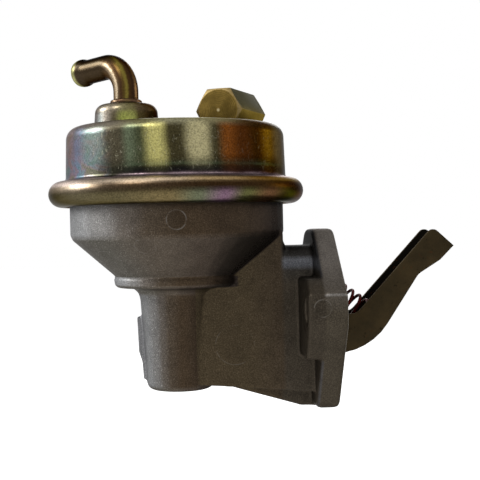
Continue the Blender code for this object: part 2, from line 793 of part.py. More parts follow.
def inlet_nipple():
    foot = BOSS_TOP - COVER_SHEET - TUBE_FOOT
    upright = BOSS_TOP + TUBE_RISE - foot - BEND_RADIUS
    bend_end = upright + BEND_RADIUS * (math.pi / 2 + LEG_DROOP)
    tip = bend_end + LEG_LENGTH - BEND_RADIUS
    collar = BOSS_TOP + GAP - foot
    wide = COLLAR_RADIUS / TUBE_RADIUS
    bead = BEAD_RADIUS / TUBE_RADIUS
    stations = [(0.0, 1.0), (collar, 1.0), (collar + 0.00002, wide)]
    stations += [(collar + 0.7 * COLLAR_HEIGHT, wide), (collar + COLLAR_HEIGHT, 0.5 + wide / 2)]
    stations += [(collar + COLLAR_HEIGHT + 0.0004, 1.0)]
    stations += [(upright + (bend_end - upright) * step / 8, 1.0) for step in range(9)]
    bead_start = tip - BEAD_LENGTH - 0.0012
    for step in range(6):
        share = step / 5
        swell = math.sin(math.pi * (0.06 + 0.80 * share)) ** 0.8
        stations.append((bead_start + (tip - bead_start) * share, 1 + (bead - 1) * swell))
    stations.append((tip, TUBE_BORE / TUBE_RADIUS + 0.06))
    points = [nipple_place(distance) for distance, _ in stations]
    tube = tube_along("inlet_nipple", points, TUBE_RADIUS, 14, [scale for _, scale in stations])
    bore_stops = [upright * step / 2 for step in range(2)]
    bore_stops += [upright + (bend_end - upright) * step / 8 for step in range(9)] + [tip]
    bore_points = [nipple_place(distance) for distance in bore_stops]
    bore_points[0] -= Vector((0, 0, 0.002))
    bore_points[-1] += (bore_points[-1] - bore_points[-2]).normalized() * 0.002
    cut(tube, tube_along("nipple_bore", bore_points, TUBE_BORE, 10))
    return paint(smooth(tube), (0.60, 0.50, 0.36), 0.30, 1.0)


def outlet_fitting():
    """Hexagon bar with turned ends, a flat milled under it, a port in one end and a hole for the stub."""
    corner = HEX_FLATS / math.sqrt(3)
    bm = bmesh.new()
    bmesh.ops.create_cone(
        bm, cap_ends=True, segments=6, radius1=corner, radius2=corner, depth=HEX_LENGTH,
        matrix=Matrix.Translation((0, 0, HEX_LENGTH / 2)) @ Matrix.Rotation(math.radians(30), 4, "Z"),
    )
    mesh = bpy.data.meshes.new("outlet_fitting")
    bm.to_mesh(mesh)
    bm.free()
    fitting = add_object("outlet_fitting", mesh)
    way = Vector((math.cos(HEX_AZIMUTH), math.sin(HEX_AZIMUTH), 0))
    end = Vector((OUTLET_X, OUTLET_Y, HEX_Z)) - way * HEX_TO_STUB
    face_radius = HEX_FLATS / 2 - 0.0004
    reach = corner - face_radius
    rise = reach * HEX_CHAMFER / (corner - HEX_FLATS / 2)
    envelope = turned("turned_ends", [
        (0, HEX_LENGTH), (face_radius, HEX_LENGTH), (corner + 0.001, HEX_LENGTH - rise),
        (corner + 0.001, rise), (face_radius, 0), (0, 0),
    ], steps=32)
    port = turned("port_cutter", [
        (0, HEX_LENGTH + 0.003), (PORT_RADIUS + 0.0004, HEX_LENGTH + 0.003),
        (PORT_RADIUS + 0.0004, HEX_LENGTH), (PORT_RADIUS, HEX_LENGTH - 0.0004),
        (PORT_RADIUS, HEX_LENGTH - PORT_DEPTH - PORT_SEAT),
        (PORT_BORE + PORT_SEAT + 0.0004, HEX_LENGTH - PORT_DEPTH - PORT_SEAT),
        (PORT_BORE + 0.0004, HEX_LENGTH - PORT_DEPTH),
        (PORT_BORE, HEX_LENGTH - PORT_DEPTH),
        (PORT_BORE, HEX_TO_STUB - 0.001), (0, HEX_TO_STUB - 0.001),
    ], steps=SMALL_STEPS)
    for piece in (fitting, envelope, port):
        laid(piece, way, end)
    milled = prism(
        "milled_flat", [(-0.1, -0.1), (0.1, -0.1), (0.1, COVER_TOP + GAP), (-0.1, COVER_TOP + GAP)], -0.1, 0.1)
    cross_hole = cylinder(
        "cross_hole", STUB_RADIUS + GAP, COVER_TOP - 0.003, HEX_Z - 0.0012, OUTLET_X, OUTLET_Y)
    combine(fitting, envelope, "INTERSECT")
    cut(fitting, milled, port, cross_hole)
    return paint(fitting, (0.45, 0.40, 0.20), 0.35, 1.0)


def outlet_stub():
    top = HEX_Z - 0.0012 - GAP
    bottom = PLATE_TOP + GAP + CAGE_HEIGHT + 2 * GAP
    stub = ring("outlet_stub", STUB_BORE, STUB_RADIUS, bottom, top, OUTLET_X, OUTLET_Y)
    return paint(stub, (0.6, 0.58, 0.52), 0.35, 1.0)


def outlet_chamber_cup():
    inner = CAGE_RADIUS + CAGE_FLANGE + 0.0010
    outer = inner + CHAMBER_SHEET
    foot = PLATE_TOP + GAP
    top = foot + CAGE_HEIGHT + 2 * GAP
    hole = STUB_RADIUS + GAP
    cup = turned("outlet_chamber_cup", [
        (hole, top + CHAMBER_SHEET), (outer - 0.0012, top + CHAMBER_SHEET),
        (outer, top - 0.0004), (outer, foot + CHAMBER_SHEET),
        (outer + 0.0012, foot + CHAMBER_SHEET), (outer + 0.0012, foot),
        (inner, foot), (inner, top - 0.0008), (inner - 0.0008, top), (hole, top),
    ], OUTLET_X, OUTLET_Y, SMALL_STEPS, closed=True)
    return paint(cup, (0.6, 0.6, 0.58), 0.35, 1.0)


def cover_seal():
    seal = ring("cover_seal", CUP_RADIUS - 0.0017, STACK_RADIUS, SEAL_Z, SEAL_Z + SEAL_SHEET, AXIS_X, steps=32)
    return paint(seal, (0.03, 0.03, 0.03), 0.8, 0.0)


def valve_plate():
    edge_top = VALVE_PLATE_Z + VALVE_PLATE_SHEET
    slope = VALVE_PLATE_FOOT - VALVE_PLATE_FLAT
    inset = VALVE_PLATE_SHEET * 0.95
    plate = turned("valve_plate", [
        (0, PLATE_TOP), (VALVE_PLATE_FLAT - 0.001, PLATE_TOP),
        (VALVE_PLATE_FLAT + 0.08 * slope, PLATE_TOP - 0.0010),
        (VALVE_PLATE_FOOT - 0.0003, edge_top + 0.0010), (VALVE_PLATE_FOOT + 0.0006, edge_top),
        (STACK_RADIUS, edge_top), (STACK_RADIUS, VALVE_PLATE_Z),
        (VALVE_PLATE_FOOT - inset, VALVE_PLATE_Z),
        (VALVE_PLATE_FLAT - inset, PLATE_TOP - VALVE_PLATE_SHEET),
        (0, PLATE_TOP - VALVE_PLATE_SHEET),
    ], AXIS_X, steps=32)
    hole = CAGE_RADIUS + GAP
    for name, x, y in (("inlet_seat_hole", BOSS_X, 0), ("outlet_seat_hole", OUTLET_X, OUTLET_Y)):
        cut(plate, cylinder(name, hole, PLATE_TOP - 0.006, PLATE_TOP + 0.006, x, y))
    return paint(plate, (0.55, 0.55, 0.53), 0.4, 1.0)


def valve(side, x, y, seat_on_top):
    """One check valve: its cage, disc and spring. The disc leaves its seat against the spring."""
    low = PLATE_TOP - VALVE_PLATE_SHEET + 0.0002
    high = low + CAGE_HEIGHT
    flange_low = PLATE_TOP + GAP
    flange_top = flange_low + 0.0008
    inner = CAGE_RADIUS - CAGE_WALL
    outside = [
        (CAGE_RADIUS, high), (CAGE_RADIUS, flange_top), (CAGE_RADIUS + CAGE_FLANGE, flange_top),
        (CAGE_RADIUS + CAGE_FLANGE, flange_low), (CAGE_RADIUS, flange_low), (CAGE_RADIUS, low),
    ]
    inside = [(inner, low + CAGE_WALL), (inner, high - CAGE_WALL)]
    if seat_on_top:
        profile = [(0, low + CAGE_WALL), *inside, (SEAT_BORE, high - CAGE_WALL), (SEAT_BORE, high),
                   *outside, (0, low)]
    else:
        profile = [(0, high), *outside, (SEAT_BORE, low), (SEAT_BORE, low + CAGE_WALL), *inside,
                   (0, high - CAGE_WALL)]
    cage = turned(f"{side}_valve_cage", profile, x, y, SMALL_STEPS)
    end = low if seat_on_top else high - CAGE_WALL
    for index in range(4):
        turn = math.pi / 2 * (index + 0.5)
        cut(cage, cylinder(
            f"{side}_flow_hole_{index}", 0.0016, end - 0.001, end + CAGE_WALL + 0.001,
            x + 0.0046 * math.cos(turn), y + 0.0046 * math.sin(turn), 8))
    paint(cage, (0.50, 0.48, 0.42), 0.45, 1.0)

    if seat_on_top:
        disc_low = high - CAGE_WALL - GAP - DISC_SHEET
        spring_low = low + CAGE_WALL + GAP
        spring_high = disc_low - GAP
    else:
        disc_low = low + CAGE_WALL + GAP
        spring_low = disc_low + DISC_SHEET + GAP
        spring_high = high - CAGE_WALL - GAP
    disc = cylinder(f"{side}_valve_disc", DISC_RADIUS, disc_low, disc_low + DISC_SHEET, x, y)
    paint(disc, (0.05, 0.05, 0.05), 0.6, 0.0)
    base = Vector((x, y, spring_low))
    points = coil_points(VALVE_COIL, VALVE_WIRE, spring_high - spring_low, 4, 7)
    spring = tube_along(f"{side}_valve_spring", [base + point for point in points], VALVE_WIRE)
    paint(spring, (0.6, 0.6, 0.6), 0.3, 1.0)
    return disc


def diaphragm():
    """Clamped flat at its edge and domed up in the middle by the stroke."""
    stations = [(0.0, 1.0), (DOME_FLAT, 1.0)]
    for step in range(1, 5):
        share = step / 5
        stations.append((DOME_FLAT + (DOME_FOOT - DOME_FLAT) * share, 0.5 + 0.5 * math.cos(math.pi * share)))
    stations += [(DOME_FOOT, 0.0), (STACK_RADIUS, 0.0)]
    bore = ROD_RADIUS + GAP
    stations[0] = (bore, 1.0)
    top = [(r, DIAPHRAGM_Z + DIAPHRAGM_SHEET + DOME * rise) for r, rise in stations]
    bottom = [(r, DIAPHRAGM_Z + DOME * rise) for r, rise in reversed(stations)]
    sheet = turned("diaphragm", top + bottom, AXIS_X, steps=28, closed=True)
    return paint(sheet, (0.04, 0.04, 0.04), 0.85, 0.0)


def diaphragm_plate(name, low, lip_up):
    bore = ROD_RADIUS + GAP
    high = low + PLATE_SHEET
    edge = PLATE_RADIUS
    if lip_up:
        profile = [(bore, high), (edge - 0.0022, high), (edge - 0.0010, high + PLATE_LIP),
                   (edge, high + PLATE_LIP), (edge - 0.0008, low), (bore, low)]
    else:
        profile = [(bore, high), (edge - 0.0008, high), (edge, low - PLATE_LIP),
                   (edge - 0.0010, low - PLATE_LIP), (edge - 0.0022, low), (bore, low)]
    plate = turned(name, profile, AXIS_X, steps=28, closed=True)
    return paint(plate, (0.55, 0.55, 0.53), 0.4, 1.0)


def rod_levels():
    """Heights down the pull rod, which the link's pad and the diaphragm set."""
    lower_plate = DIAPHRAGM_Z + DOME - GAP - PLATE_SHEET
    upper_plate = DIAPHRAGM_Z + DOME + DIAPHRAGM_SHEET + GAP
    washer_top = PIVOT_Z - LINK_PAD - GAP
    foot_top = washer_top - FOOT_WASHER - GAP
    return lower_plate, upper_plate, washer_top, foot_top


def pull_rod():
    lower_plate, upper_plate, _, foot_top = rod_levels()
    collar_top = lower_plate - GAP
    head_low = upper_plate + PLATE_SHEET + GAP
    rod = turned("pull_rod", [
        (0, head_low + ROD_HEAD_HEIGHT), (ROD_HEAD - 0.0012, head_low + ROD_HEAD_HEIGHT),
        (ROD_HEAD, head_low + 0.3 * ROD_HEAD_HEIGHT), (ROD_HEAD, head_low), (ROD_RADIUS, head_low),
        (ROD_RADIUS, collar_top), (ROD_HEAD, collar_top), (ROD_HEAD, collar_top - 0.0015),
        (ROD_RADIUS, collar_top - 0.0015), (ROD_RADIUS, foot_top), (FOOT_RADIUS, foot_top),
        (FOOT_RADIUS, foot_top - 0.7 * FOOT_HEIGHT), (FOOT_RADIUS - 0.0008, foot_top - FOOT_HEIGHT),
        (0, foot_top - FOOT_HEIGHT),
    ], AXIS_X, steps=16)
    return paint(rod, (0.50, 0.50, 0.50), 0.35, 1.0)


def diaphragm_works():
    lower_plate, upper_plate, washer_top, _ = rod_levels()
    moving = [
        pull_rod(),
        diaphragm_plate("lower_diaphragm_plate", lower_plate, False),
        diaphragm_plate("upper_diaphragm_plate", upper_plate, True),
    ]
    washer = ring("rod_foot_washer", ROD_RADIUS + GAP, FOOT_RADIUS - 0.0005,
                  washer_top - FOOT_WASHER, washer_top, AXIS_X)
    moving.append(paint(washer, (0.35, 0.20, 0.12), 0.7, 0.0))
    diaphragm()

    seal = ring("rod_seal", ROD_RADIUS + GAP, ROD_SEAL_RADIUS,
                SPRING_FLOOR - ROD_SEAL_HEIGHT, SPRING_FLOOR, AXIS_X)
    paint(seal, (0.03, 0.03, 0.03), 0.8, 0.0)
    low = SPRING_FLOOR + GAP
    high = low + RETAINER_SHEET
    edge = RETAINER_RADIUS + RETAINER_SHEET
    retainer = turned("seal_retainer", [
        (ROD_RADIUS + 0.0008, high), (RETAINER_RADIUS, high), (RETAINER_RADIUS, high + 0.0014),
        (edge, high + 0.0014), (edge, low), (ROD_RADIUS + 0.0008, low),
    ], AXIS_X, steps=24, closed=True)
    paint(retainer, (0.55, 0.55, 0.53), 0.4, 1.0)
    spring_low = high + GAP
    length = lower_plate - GAP - spring_low
    base = Vector((AXIS_X, 0, spring_low))
    points = coil_points(SPRING_RADIUS, SPRING_WIRE, length, SPRING_TURNS, 10)
    spring = tube_along("diaphragm_spring", [base + point for point in points], SPRING_WIRE)
    paint(smooth(spring), (0.5, 0.5, 0.5), 0.35, 1.0)
    return moving


def from_pivot(corners):
    return [(PIVOT_X + x, PIVOT_Z + z, radius) for x, z, radius in corners]


def arm_underside(offset=0.0):
    """Corners of the arm's underside from hook to tip, moved inwards by an offset."""
    corners = [(-1.0, ARM_BOTTOM), (ARM_HOOK_X, ARM_BOTTOM), ARM_NECK, ARM_PAD, ARM_TIP]
    turns = [ARM_HOOK_RADIUS, 0.0060, 0.0030]
    lines = []
    for (x1, z1), (x2, z2) in zip(corners, corners[1:]):
        way = Vector((x2 - x1, z2 - z1)).normalized()
        shift = Vector((-way.y, way.x)) * offset
        lines.append((Vector((x1, z1)) + shift, way))
    found = []
    for (a, way_a), (b, way_b) in zip(lines, lines[1:]):
        share = (b - a).cross(way_b) / way_a.cross(way_b)
        found.append(a + way_a * share)
    signs = (-1, 1, 1)
    radii = [turn + sign * offset for turn, sign in zip(turns, signs)]
    last = Vector(ARM_TIP) + Vector((-lines[-1][1].y, lines[-1][1].x)) * offset
    return [(point.x, point.y, max(radius, 0.0005)) for point, radius in zip(found, radii)], last, lines[-1][1]


def rocker_arm():
    """A channel folded from sheet: two cheeks joined by a web along the underside."""
    underside, _, _ = arm_underside()
    corners = [
        (-ARM_BOSS, ARM_TOP - 0.0003, 0.0060),
        (ARM_CORNER_X, ARM_TOP, 0.0045),
        (*ARM_CREST, 0.0022),
        (*ARM_TIP, 0),
        *reversed(underside),
        (WEB_START + 0.0020, ARM_BOTTOM, 0),
        (-ARM_BOSS, ARM_BOTTOM, 0.0055),
    ]
    outline = rounded(from_pivot(corners), 6)
    arm = prism("rocker_arm", outline, -ARM_HALF, ARM_HALF)
    mesh = arm.data
    mesh.update()
    index_of = {key: index for index, key in enumerate(mesh.edge_keys)}
    weights = mesh.attributes.new("bevel_weight_edge", "FLOAT", "EDGE")
    for polygon in mesh.polygons:
        if polygon.normal.z > -0.3 or polygon.center.x < PIVOT_X + WEB_START + 0.002:
            continue
        for key in polygon.edge_keys:
            ends = [mesh.vertices[i].co for i in key]
            if ends[0].y * ends[1].y > 0:
                weights.data[index_of[key]].value = 1.0
    fold = arm.modifiers.new("fold", "BEVEL")
    fold.limit_method = "WEIGHT"
    fold.width = ARM_BEND
    fold.segments = 2
    cut(arm, arm_inside(), arm_pin_hole())
    return paint(arm, (0.25, 0.22, 0.16), 0.5, 0.9)


def arm_inside():
    underside, last, way = arm_underside(ARM_SHEET)
    beyond = last + way * 0.010
    corners = [
        (-0.030, 0.070, 0), (0.090, 0.070, 0), (beyond.x, beyond.y, 0),
        *reversed(underside),
        (WEB_START, ARM_BOTTOM + ARM_SHEET, 0), (WEB_START, ARM_BOTTOM - 0.010, 0),
        (-0.030, ARM_BOTTOM - 0.010, 0),
    ]
    inside = ARM_HALF - ARM_SHEET
    return prism("arm_inside", rounded(from_pivot(corners), 5), -inside, inside)


def arm_pin_hole():
    return laid(
        cylinder("arm_pin_hole", PIN_RADIUS + GAP, -0.02, 0.02), (0, 1, 0), (PIVOT_X, 0, PIVOT_Z))


def rocker_link():
    """A folded lever: two cheeks that straddle the rod, a bridge between them, and a heel on the arm's web."""
    half = LINK_GAP_HALF + LINK_SHEET
    pad = LINK_PAD
    reach = PIVOT_TO_AXIS
    heel_low = ARM_BOTTOM + ARM_SHEET + GAP
    corners = [
        (-reach - pad, pad, 0.97 * pad),
        (-reach + 0.008, pad, 0.004),
        (-0.012, LINK_BOSS - 0.0002, 0.006),
        (0.004, LINK_BOSS - 0.0002, 0.005),
        (LINK_HEEL, 0.0, 0.002),
        (LINK_HEEL, heel_low, 0.0010),
        (0.0054, heel_low, 0.0008),
        (0.0034, -LINK_BOSS + 0.0004, 0.0016),
        (-0.0040, -LINK_BOSS + 0.0004, 0.0030),
        (-0.009, -0.0026, 0.004),
        (-reach + 0.0055, -0.0020, 0.0015),
        (-reach + pad, -pad, 0.0014),
        (-reach - pad, -pad, 0.97 * pad),
    ]
    link = prism("rocker_link", rounded(from_pivot(corners), 3), -half, half)
    bridge = [
        (-reach - 0.010, 0.020, 0), (-reach + 0.010, 0.020, 0),
        (-reach + 0.010, pad - 0.0018, 0), (-0.012, LINK_BOSS - 0.0026, 0),
        (-0.010, 0.020, 0), (0.030, 0.020, 0), (0.030, -0.020, 0), (-reach - 0.010, -0.020, 0),
    ]
    inside = prism("link_inside", rounded(from_pivot(bridge)), -LINK_GAP_HALF, LINK_GAP_HALF)
    hole = laid(cylinder("link_pin_hole", PIN_RADIUS + GAP, -0.02, 0.02), (0, 1, 0), (PIVOT_X, 0, PIVOT_Z))
    cut(link, inside, hole)
    return paint(link, (0.38, 0.36, 0.32), 0.45, 1.0)


def pivot_works():
    wall = housing_half(PIVOT_TO_AXIS)
    place = (PIVOT_X, 0, PIVOT_Z)
    low = -(wall - PIN_BLIND) + GAP
    high = wall - PIN_RECESS
    edge = 0.0005
    pin = laid(turned("pivot_pin", [
        (0, high), (PIN_RADIUS - edge, high), (PIN_RADIUS, high - edge),
        (PIN_RADIUS, low + edge), (PIN_RADIUS - edge, low), (0, low),
    ], steps=SMALL_STEPS), (0, 1, 0), place)
    paint(pin, (0.5, 0.5, 0.5), 0.3, 1.0)
    link_side = LINK_GAP_HALF + LINK_SHEET
    arm_inside_y = ARM_HALF - ARM_SHEET
    for name, side in (("near", -1), ("far", 1)):
        spans = {
            f"thrust_washer_{name}": (ARM_HALF + GAP, CHAMBER_HALF - GAP, THRUST_RADIUS),
            f"link_spacer_{name}": (link_side + GAP, arm_inside_y - GAP, SPACER_RADIUS),
        }
        for piece, (start, stop, radius) in spans.items():
            a, b = sorted((side * start, side * stop))
            washer = laid(ring(piece, PIN_RADIUS + GAP, radius, a, b), (0, 1, 0), place)
            paint(washer, (0.45, 0.40, 0.30), 0.45, 1.0)


def arm_return_spring():
    _, in_body, way = return_spring_ends()
    points = coil_points(RETURN_RADIUS, RETURN_WIRE, RETURN_LENGTH - 2 * GAP, RETURN_TURNS, 7)
    turn = Vector((way.x, 0, way.y)).to_track_quat("Z", "Y")
    start = Vector((in_body.x, 0, in_body.y)) + Vector((way.x, 0, way.y)) * GAP
    spring = tube_along("arm_return_spring", [start + turn @ point for point in points], RETURN_WIRE)
    return paint(smooth(spring), (0.20, 0.03, 0.02), 0.45, 0.2)


def carried_by(name, place, pieces):
    """An empty on a joint's axis that carries the moving pieces."""
    empty = add_object(name, None)
    empty.location = place
    bpy.context.view_layer.update()
    for piece in pieces:
        piece.parent = empty
        piece.matrix_parent_inverse = empty.matrix_world.inverted()
    return empty


def build():
    body_casting()
    top_cover()
    inlet_nipple()
    outlet_fitting()
    outlet_stub()
    outlet_chamber_cup()
    cover_seal()
    valve_plate()
    inlet_disc = valve("inlet", BOSS_X, 0.0, True)
    outlet_disc = valve("outlet", OUTLET_X, OUTLET_Y, False)
    rod_pieces = diaphragm_works()
    pivot_works()
    arm = rocker_arm()
    link = rocker_link()
    arm_return_spring()
    carried_by("rod_axis", (AXIS_X, 0, CLAMP_Z), rod_pieces)
    carried_by("arm_axis", (PIVOT_X, 0, PIVOT_Z), [arm])
    carried_by("link_axis", (PIVOT_X, 0, PIVOT_Z), [link])
    carried_by("inlet_disc_axis", (BOSS_X, 0, PLATE_TOP), [inlet_disc])
    carried_by("outlet_disc_axis", (OUTLET_X, OUTLET_Y, PLATE_TOP), [outlet_disc])


build()
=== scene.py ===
import math

import bmesh
import bpy
from mathutils import Matrix, Vector


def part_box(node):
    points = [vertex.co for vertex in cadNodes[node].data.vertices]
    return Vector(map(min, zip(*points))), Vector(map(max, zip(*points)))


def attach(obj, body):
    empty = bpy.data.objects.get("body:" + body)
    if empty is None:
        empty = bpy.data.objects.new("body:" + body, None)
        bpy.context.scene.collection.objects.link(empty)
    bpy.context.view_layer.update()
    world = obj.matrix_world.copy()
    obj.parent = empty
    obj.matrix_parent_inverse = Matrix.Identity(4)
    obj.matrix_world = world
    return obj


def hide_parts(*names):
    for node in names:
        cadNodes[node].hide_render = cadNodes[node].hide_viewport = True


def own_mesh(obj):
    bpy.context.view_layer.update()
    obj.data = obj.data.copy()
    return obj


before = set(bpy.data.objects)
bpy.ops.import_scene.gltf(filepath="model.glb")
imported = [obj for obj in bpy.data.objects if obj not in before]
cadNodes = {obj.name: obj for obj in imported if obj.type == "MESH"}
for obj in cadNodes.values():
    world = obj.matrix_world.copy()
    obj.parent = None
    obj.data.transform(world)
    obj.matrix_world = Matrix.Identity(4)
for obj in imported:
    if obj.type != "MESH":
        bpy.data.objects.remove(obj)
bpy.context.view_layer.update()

print("packed pump loaded:", len(cadNodes), "nodes")

# Places that several pieces share, in metres
pumpAxis = Vector((-0.058, 0, 0))  # the upright axis of the diaphragm
bossAxis = Vector((-0.0762, 0, 0))  # the upright axis of the hose boss
coverTop = 0.09655


# Node helpers

edgeTint = (0.35, 0.35, 0.35, 1.0)  # keeps dull metal from glaring at its edges


def linear(hexColor):
    channels = [int(hexColor[i:i + 2], 16) / 255 for i in (0, 2, 4)]
    return [c / 12.92 if c <= 0.04045 else ((c + 0.055) / 1.055) ** 2.4 for c in channels] + [1.0]


def addNode(tree, kind, inputs=None, **settings):
    made = tree.nodes.new("ShaderNode" + kind)
    for key, value in settings.items():
        setattr(made, key, value)
    for key, value in (inputs or {}).items():
        if isinstance(value, bpy.types.NodeSocket):
            tree.links.new(value, made.inputs[key])
        else:
            made.inputs[key].default_value = value
    return made


def newMaterial(name, metallic, roughness, shine=0.5):
    material = bpy.data.materials.new(name)
    material.use_nodes = True
    tree = material.node_tree
    shader = tree.nodes["Principled BSDF"]
    shader.inputs["Metallic"].default_value = metallic
    shader.inputs["Roughness"].default_value = roughness
    shader.inputs["Specular IOR Level"].default_value = shine
    shader.inputs["Specular Tint"].default_value = edgeTint
    return material, tree, addNode(tree, "TexCoord").outputs["Object"]


def finished(material, color, roughness, bumps, distance, strength=0.5):
    tree = material.node_tree
    shader = tree.nodes["Principled BSDF"]
    tree.links.new(color, shader.inputs["Base Color"])
    tree.links.new(roughness, shader.inputs["Roughness"])
    made = addNode(tree, "Bump", {"Height": bumps, "Distance": distance, "Strength": strength})
    tree.links.new(made.outputs["Normal"], shader.inputs["Normal"])
    return material


def maths(tree, operation, a, b=0.0):
    return addNode(tree, "Math", {0: a, 1: b}, operation=operation).outputs[0]


def times(tree, a, b):
    return maths(tree, "MULTIPLY", a, b)


def plus(tree, a, b):
    return maths(tree, "ADD", a, b)


def minus(tree, a, b):
    return maths(tree, "SUBTRACT", a, b)


def above(tree, value, limit):
    return maths(tree, "GREATER_THAN", value, limit)


def below(tree, value, limit):
    return maths(tree, "LESS_THAN", value, limit)


def between(tree, value, low, high):
    return addNode(tree, "MapRange", {0: value, 1: low, 2: high}).outputs[0]


def spread(tree, value, low, high):
    return addNode(tree, "MapRange", {0: value, 3: low, 4: high}).outputs[0]


def noise(tree, place, scale, detail=3.0, roughness=0.55, distortion=0.0):
    made = addNode(tree, "TexNoise", {
        "Vector": place, "Scale": scale, "Detail": detail, "Roughness": roughness,
        "Distortion": distortion})
    return made.outputs["Fac"]


def wander(tree, cloud, amount):
    return times(tree, minus(tree, cloud, 0.5), amount)


def ramp(tree, fac, stops, smooth=False):
    made = addNode(tree, "ValToRGB", {"Fac": fac})
    colors = made.color_ramp
    colors.interpolation = "EASE" if smooth else "LINEAR"
    while len(colors.elements) < len(stops):
        colors.elements.new(0.5)
    for element, (position, color) in zip(colors.elements, stops):
        element.position = position
        element.color = linear(color) if isinstance(color, str) else [color] * 3 + [1.0]
    return made.outputs["Color"]


def bandsOf(tree, look):
    return lambda fac, key, smooth=False: ramp(tree, fac, look[key], smooth)


def mix(tree, fac, a, b, blend="MIX"):
    made = addNode(tree, "Mix", data_type="RGBA", blend_type=blend)
    for socket, value in ((made.inputs[0], fac), (made.inputs[6], a), (made.inputs[7], b)):
        if isinstance(value, bpy.types.NodeSocket):
            tree.links.new(value, socket)
        else:
            socket.default_value = linear(value) if isinstance(value, str) else value
    return made.outputs[2]


def tint(tree, color, shade):
    return mix(tree, 1.0, color, shade, "MULTIPLY")


def parts(tree, vector):
    return addNode(tree, "SeparateXYZ", {0: vector}).outputs[:3]


def aroundAxis(tree, place, axis):
    x, y, z = parts(tree, place)
    x = minus(tree, x, axis.x)
    y = minus(tree, y, axis.y)
    turn = plus(tree, times(tree, maths(tree, "ARCTAN2", y, x), 1 / (2 * math.pi)), 0.5)
    away = maths(tree, "SQRT", plus(tree, times(tree, x, x), times(tree, y, y)))
    return turn, z, away


def awayFrom(tree, place, centre):
    return addNode(tree, "VectorMath", {0: place, 1: centre}, operation="DISTANCE").outputs["Value"]


def stretched(tree, place, upward):
    return addNode(tree, "Mapping", {0: place, 3: (1.0, 1.0, upward)}).outputs[0]


# Finishes. Turn goes by the place round the pump's axis, where 0 is the left side, 0.25 the front and
# 0.5 the right side, Level by the share of the wall's or the rim's height, and Span is in metres

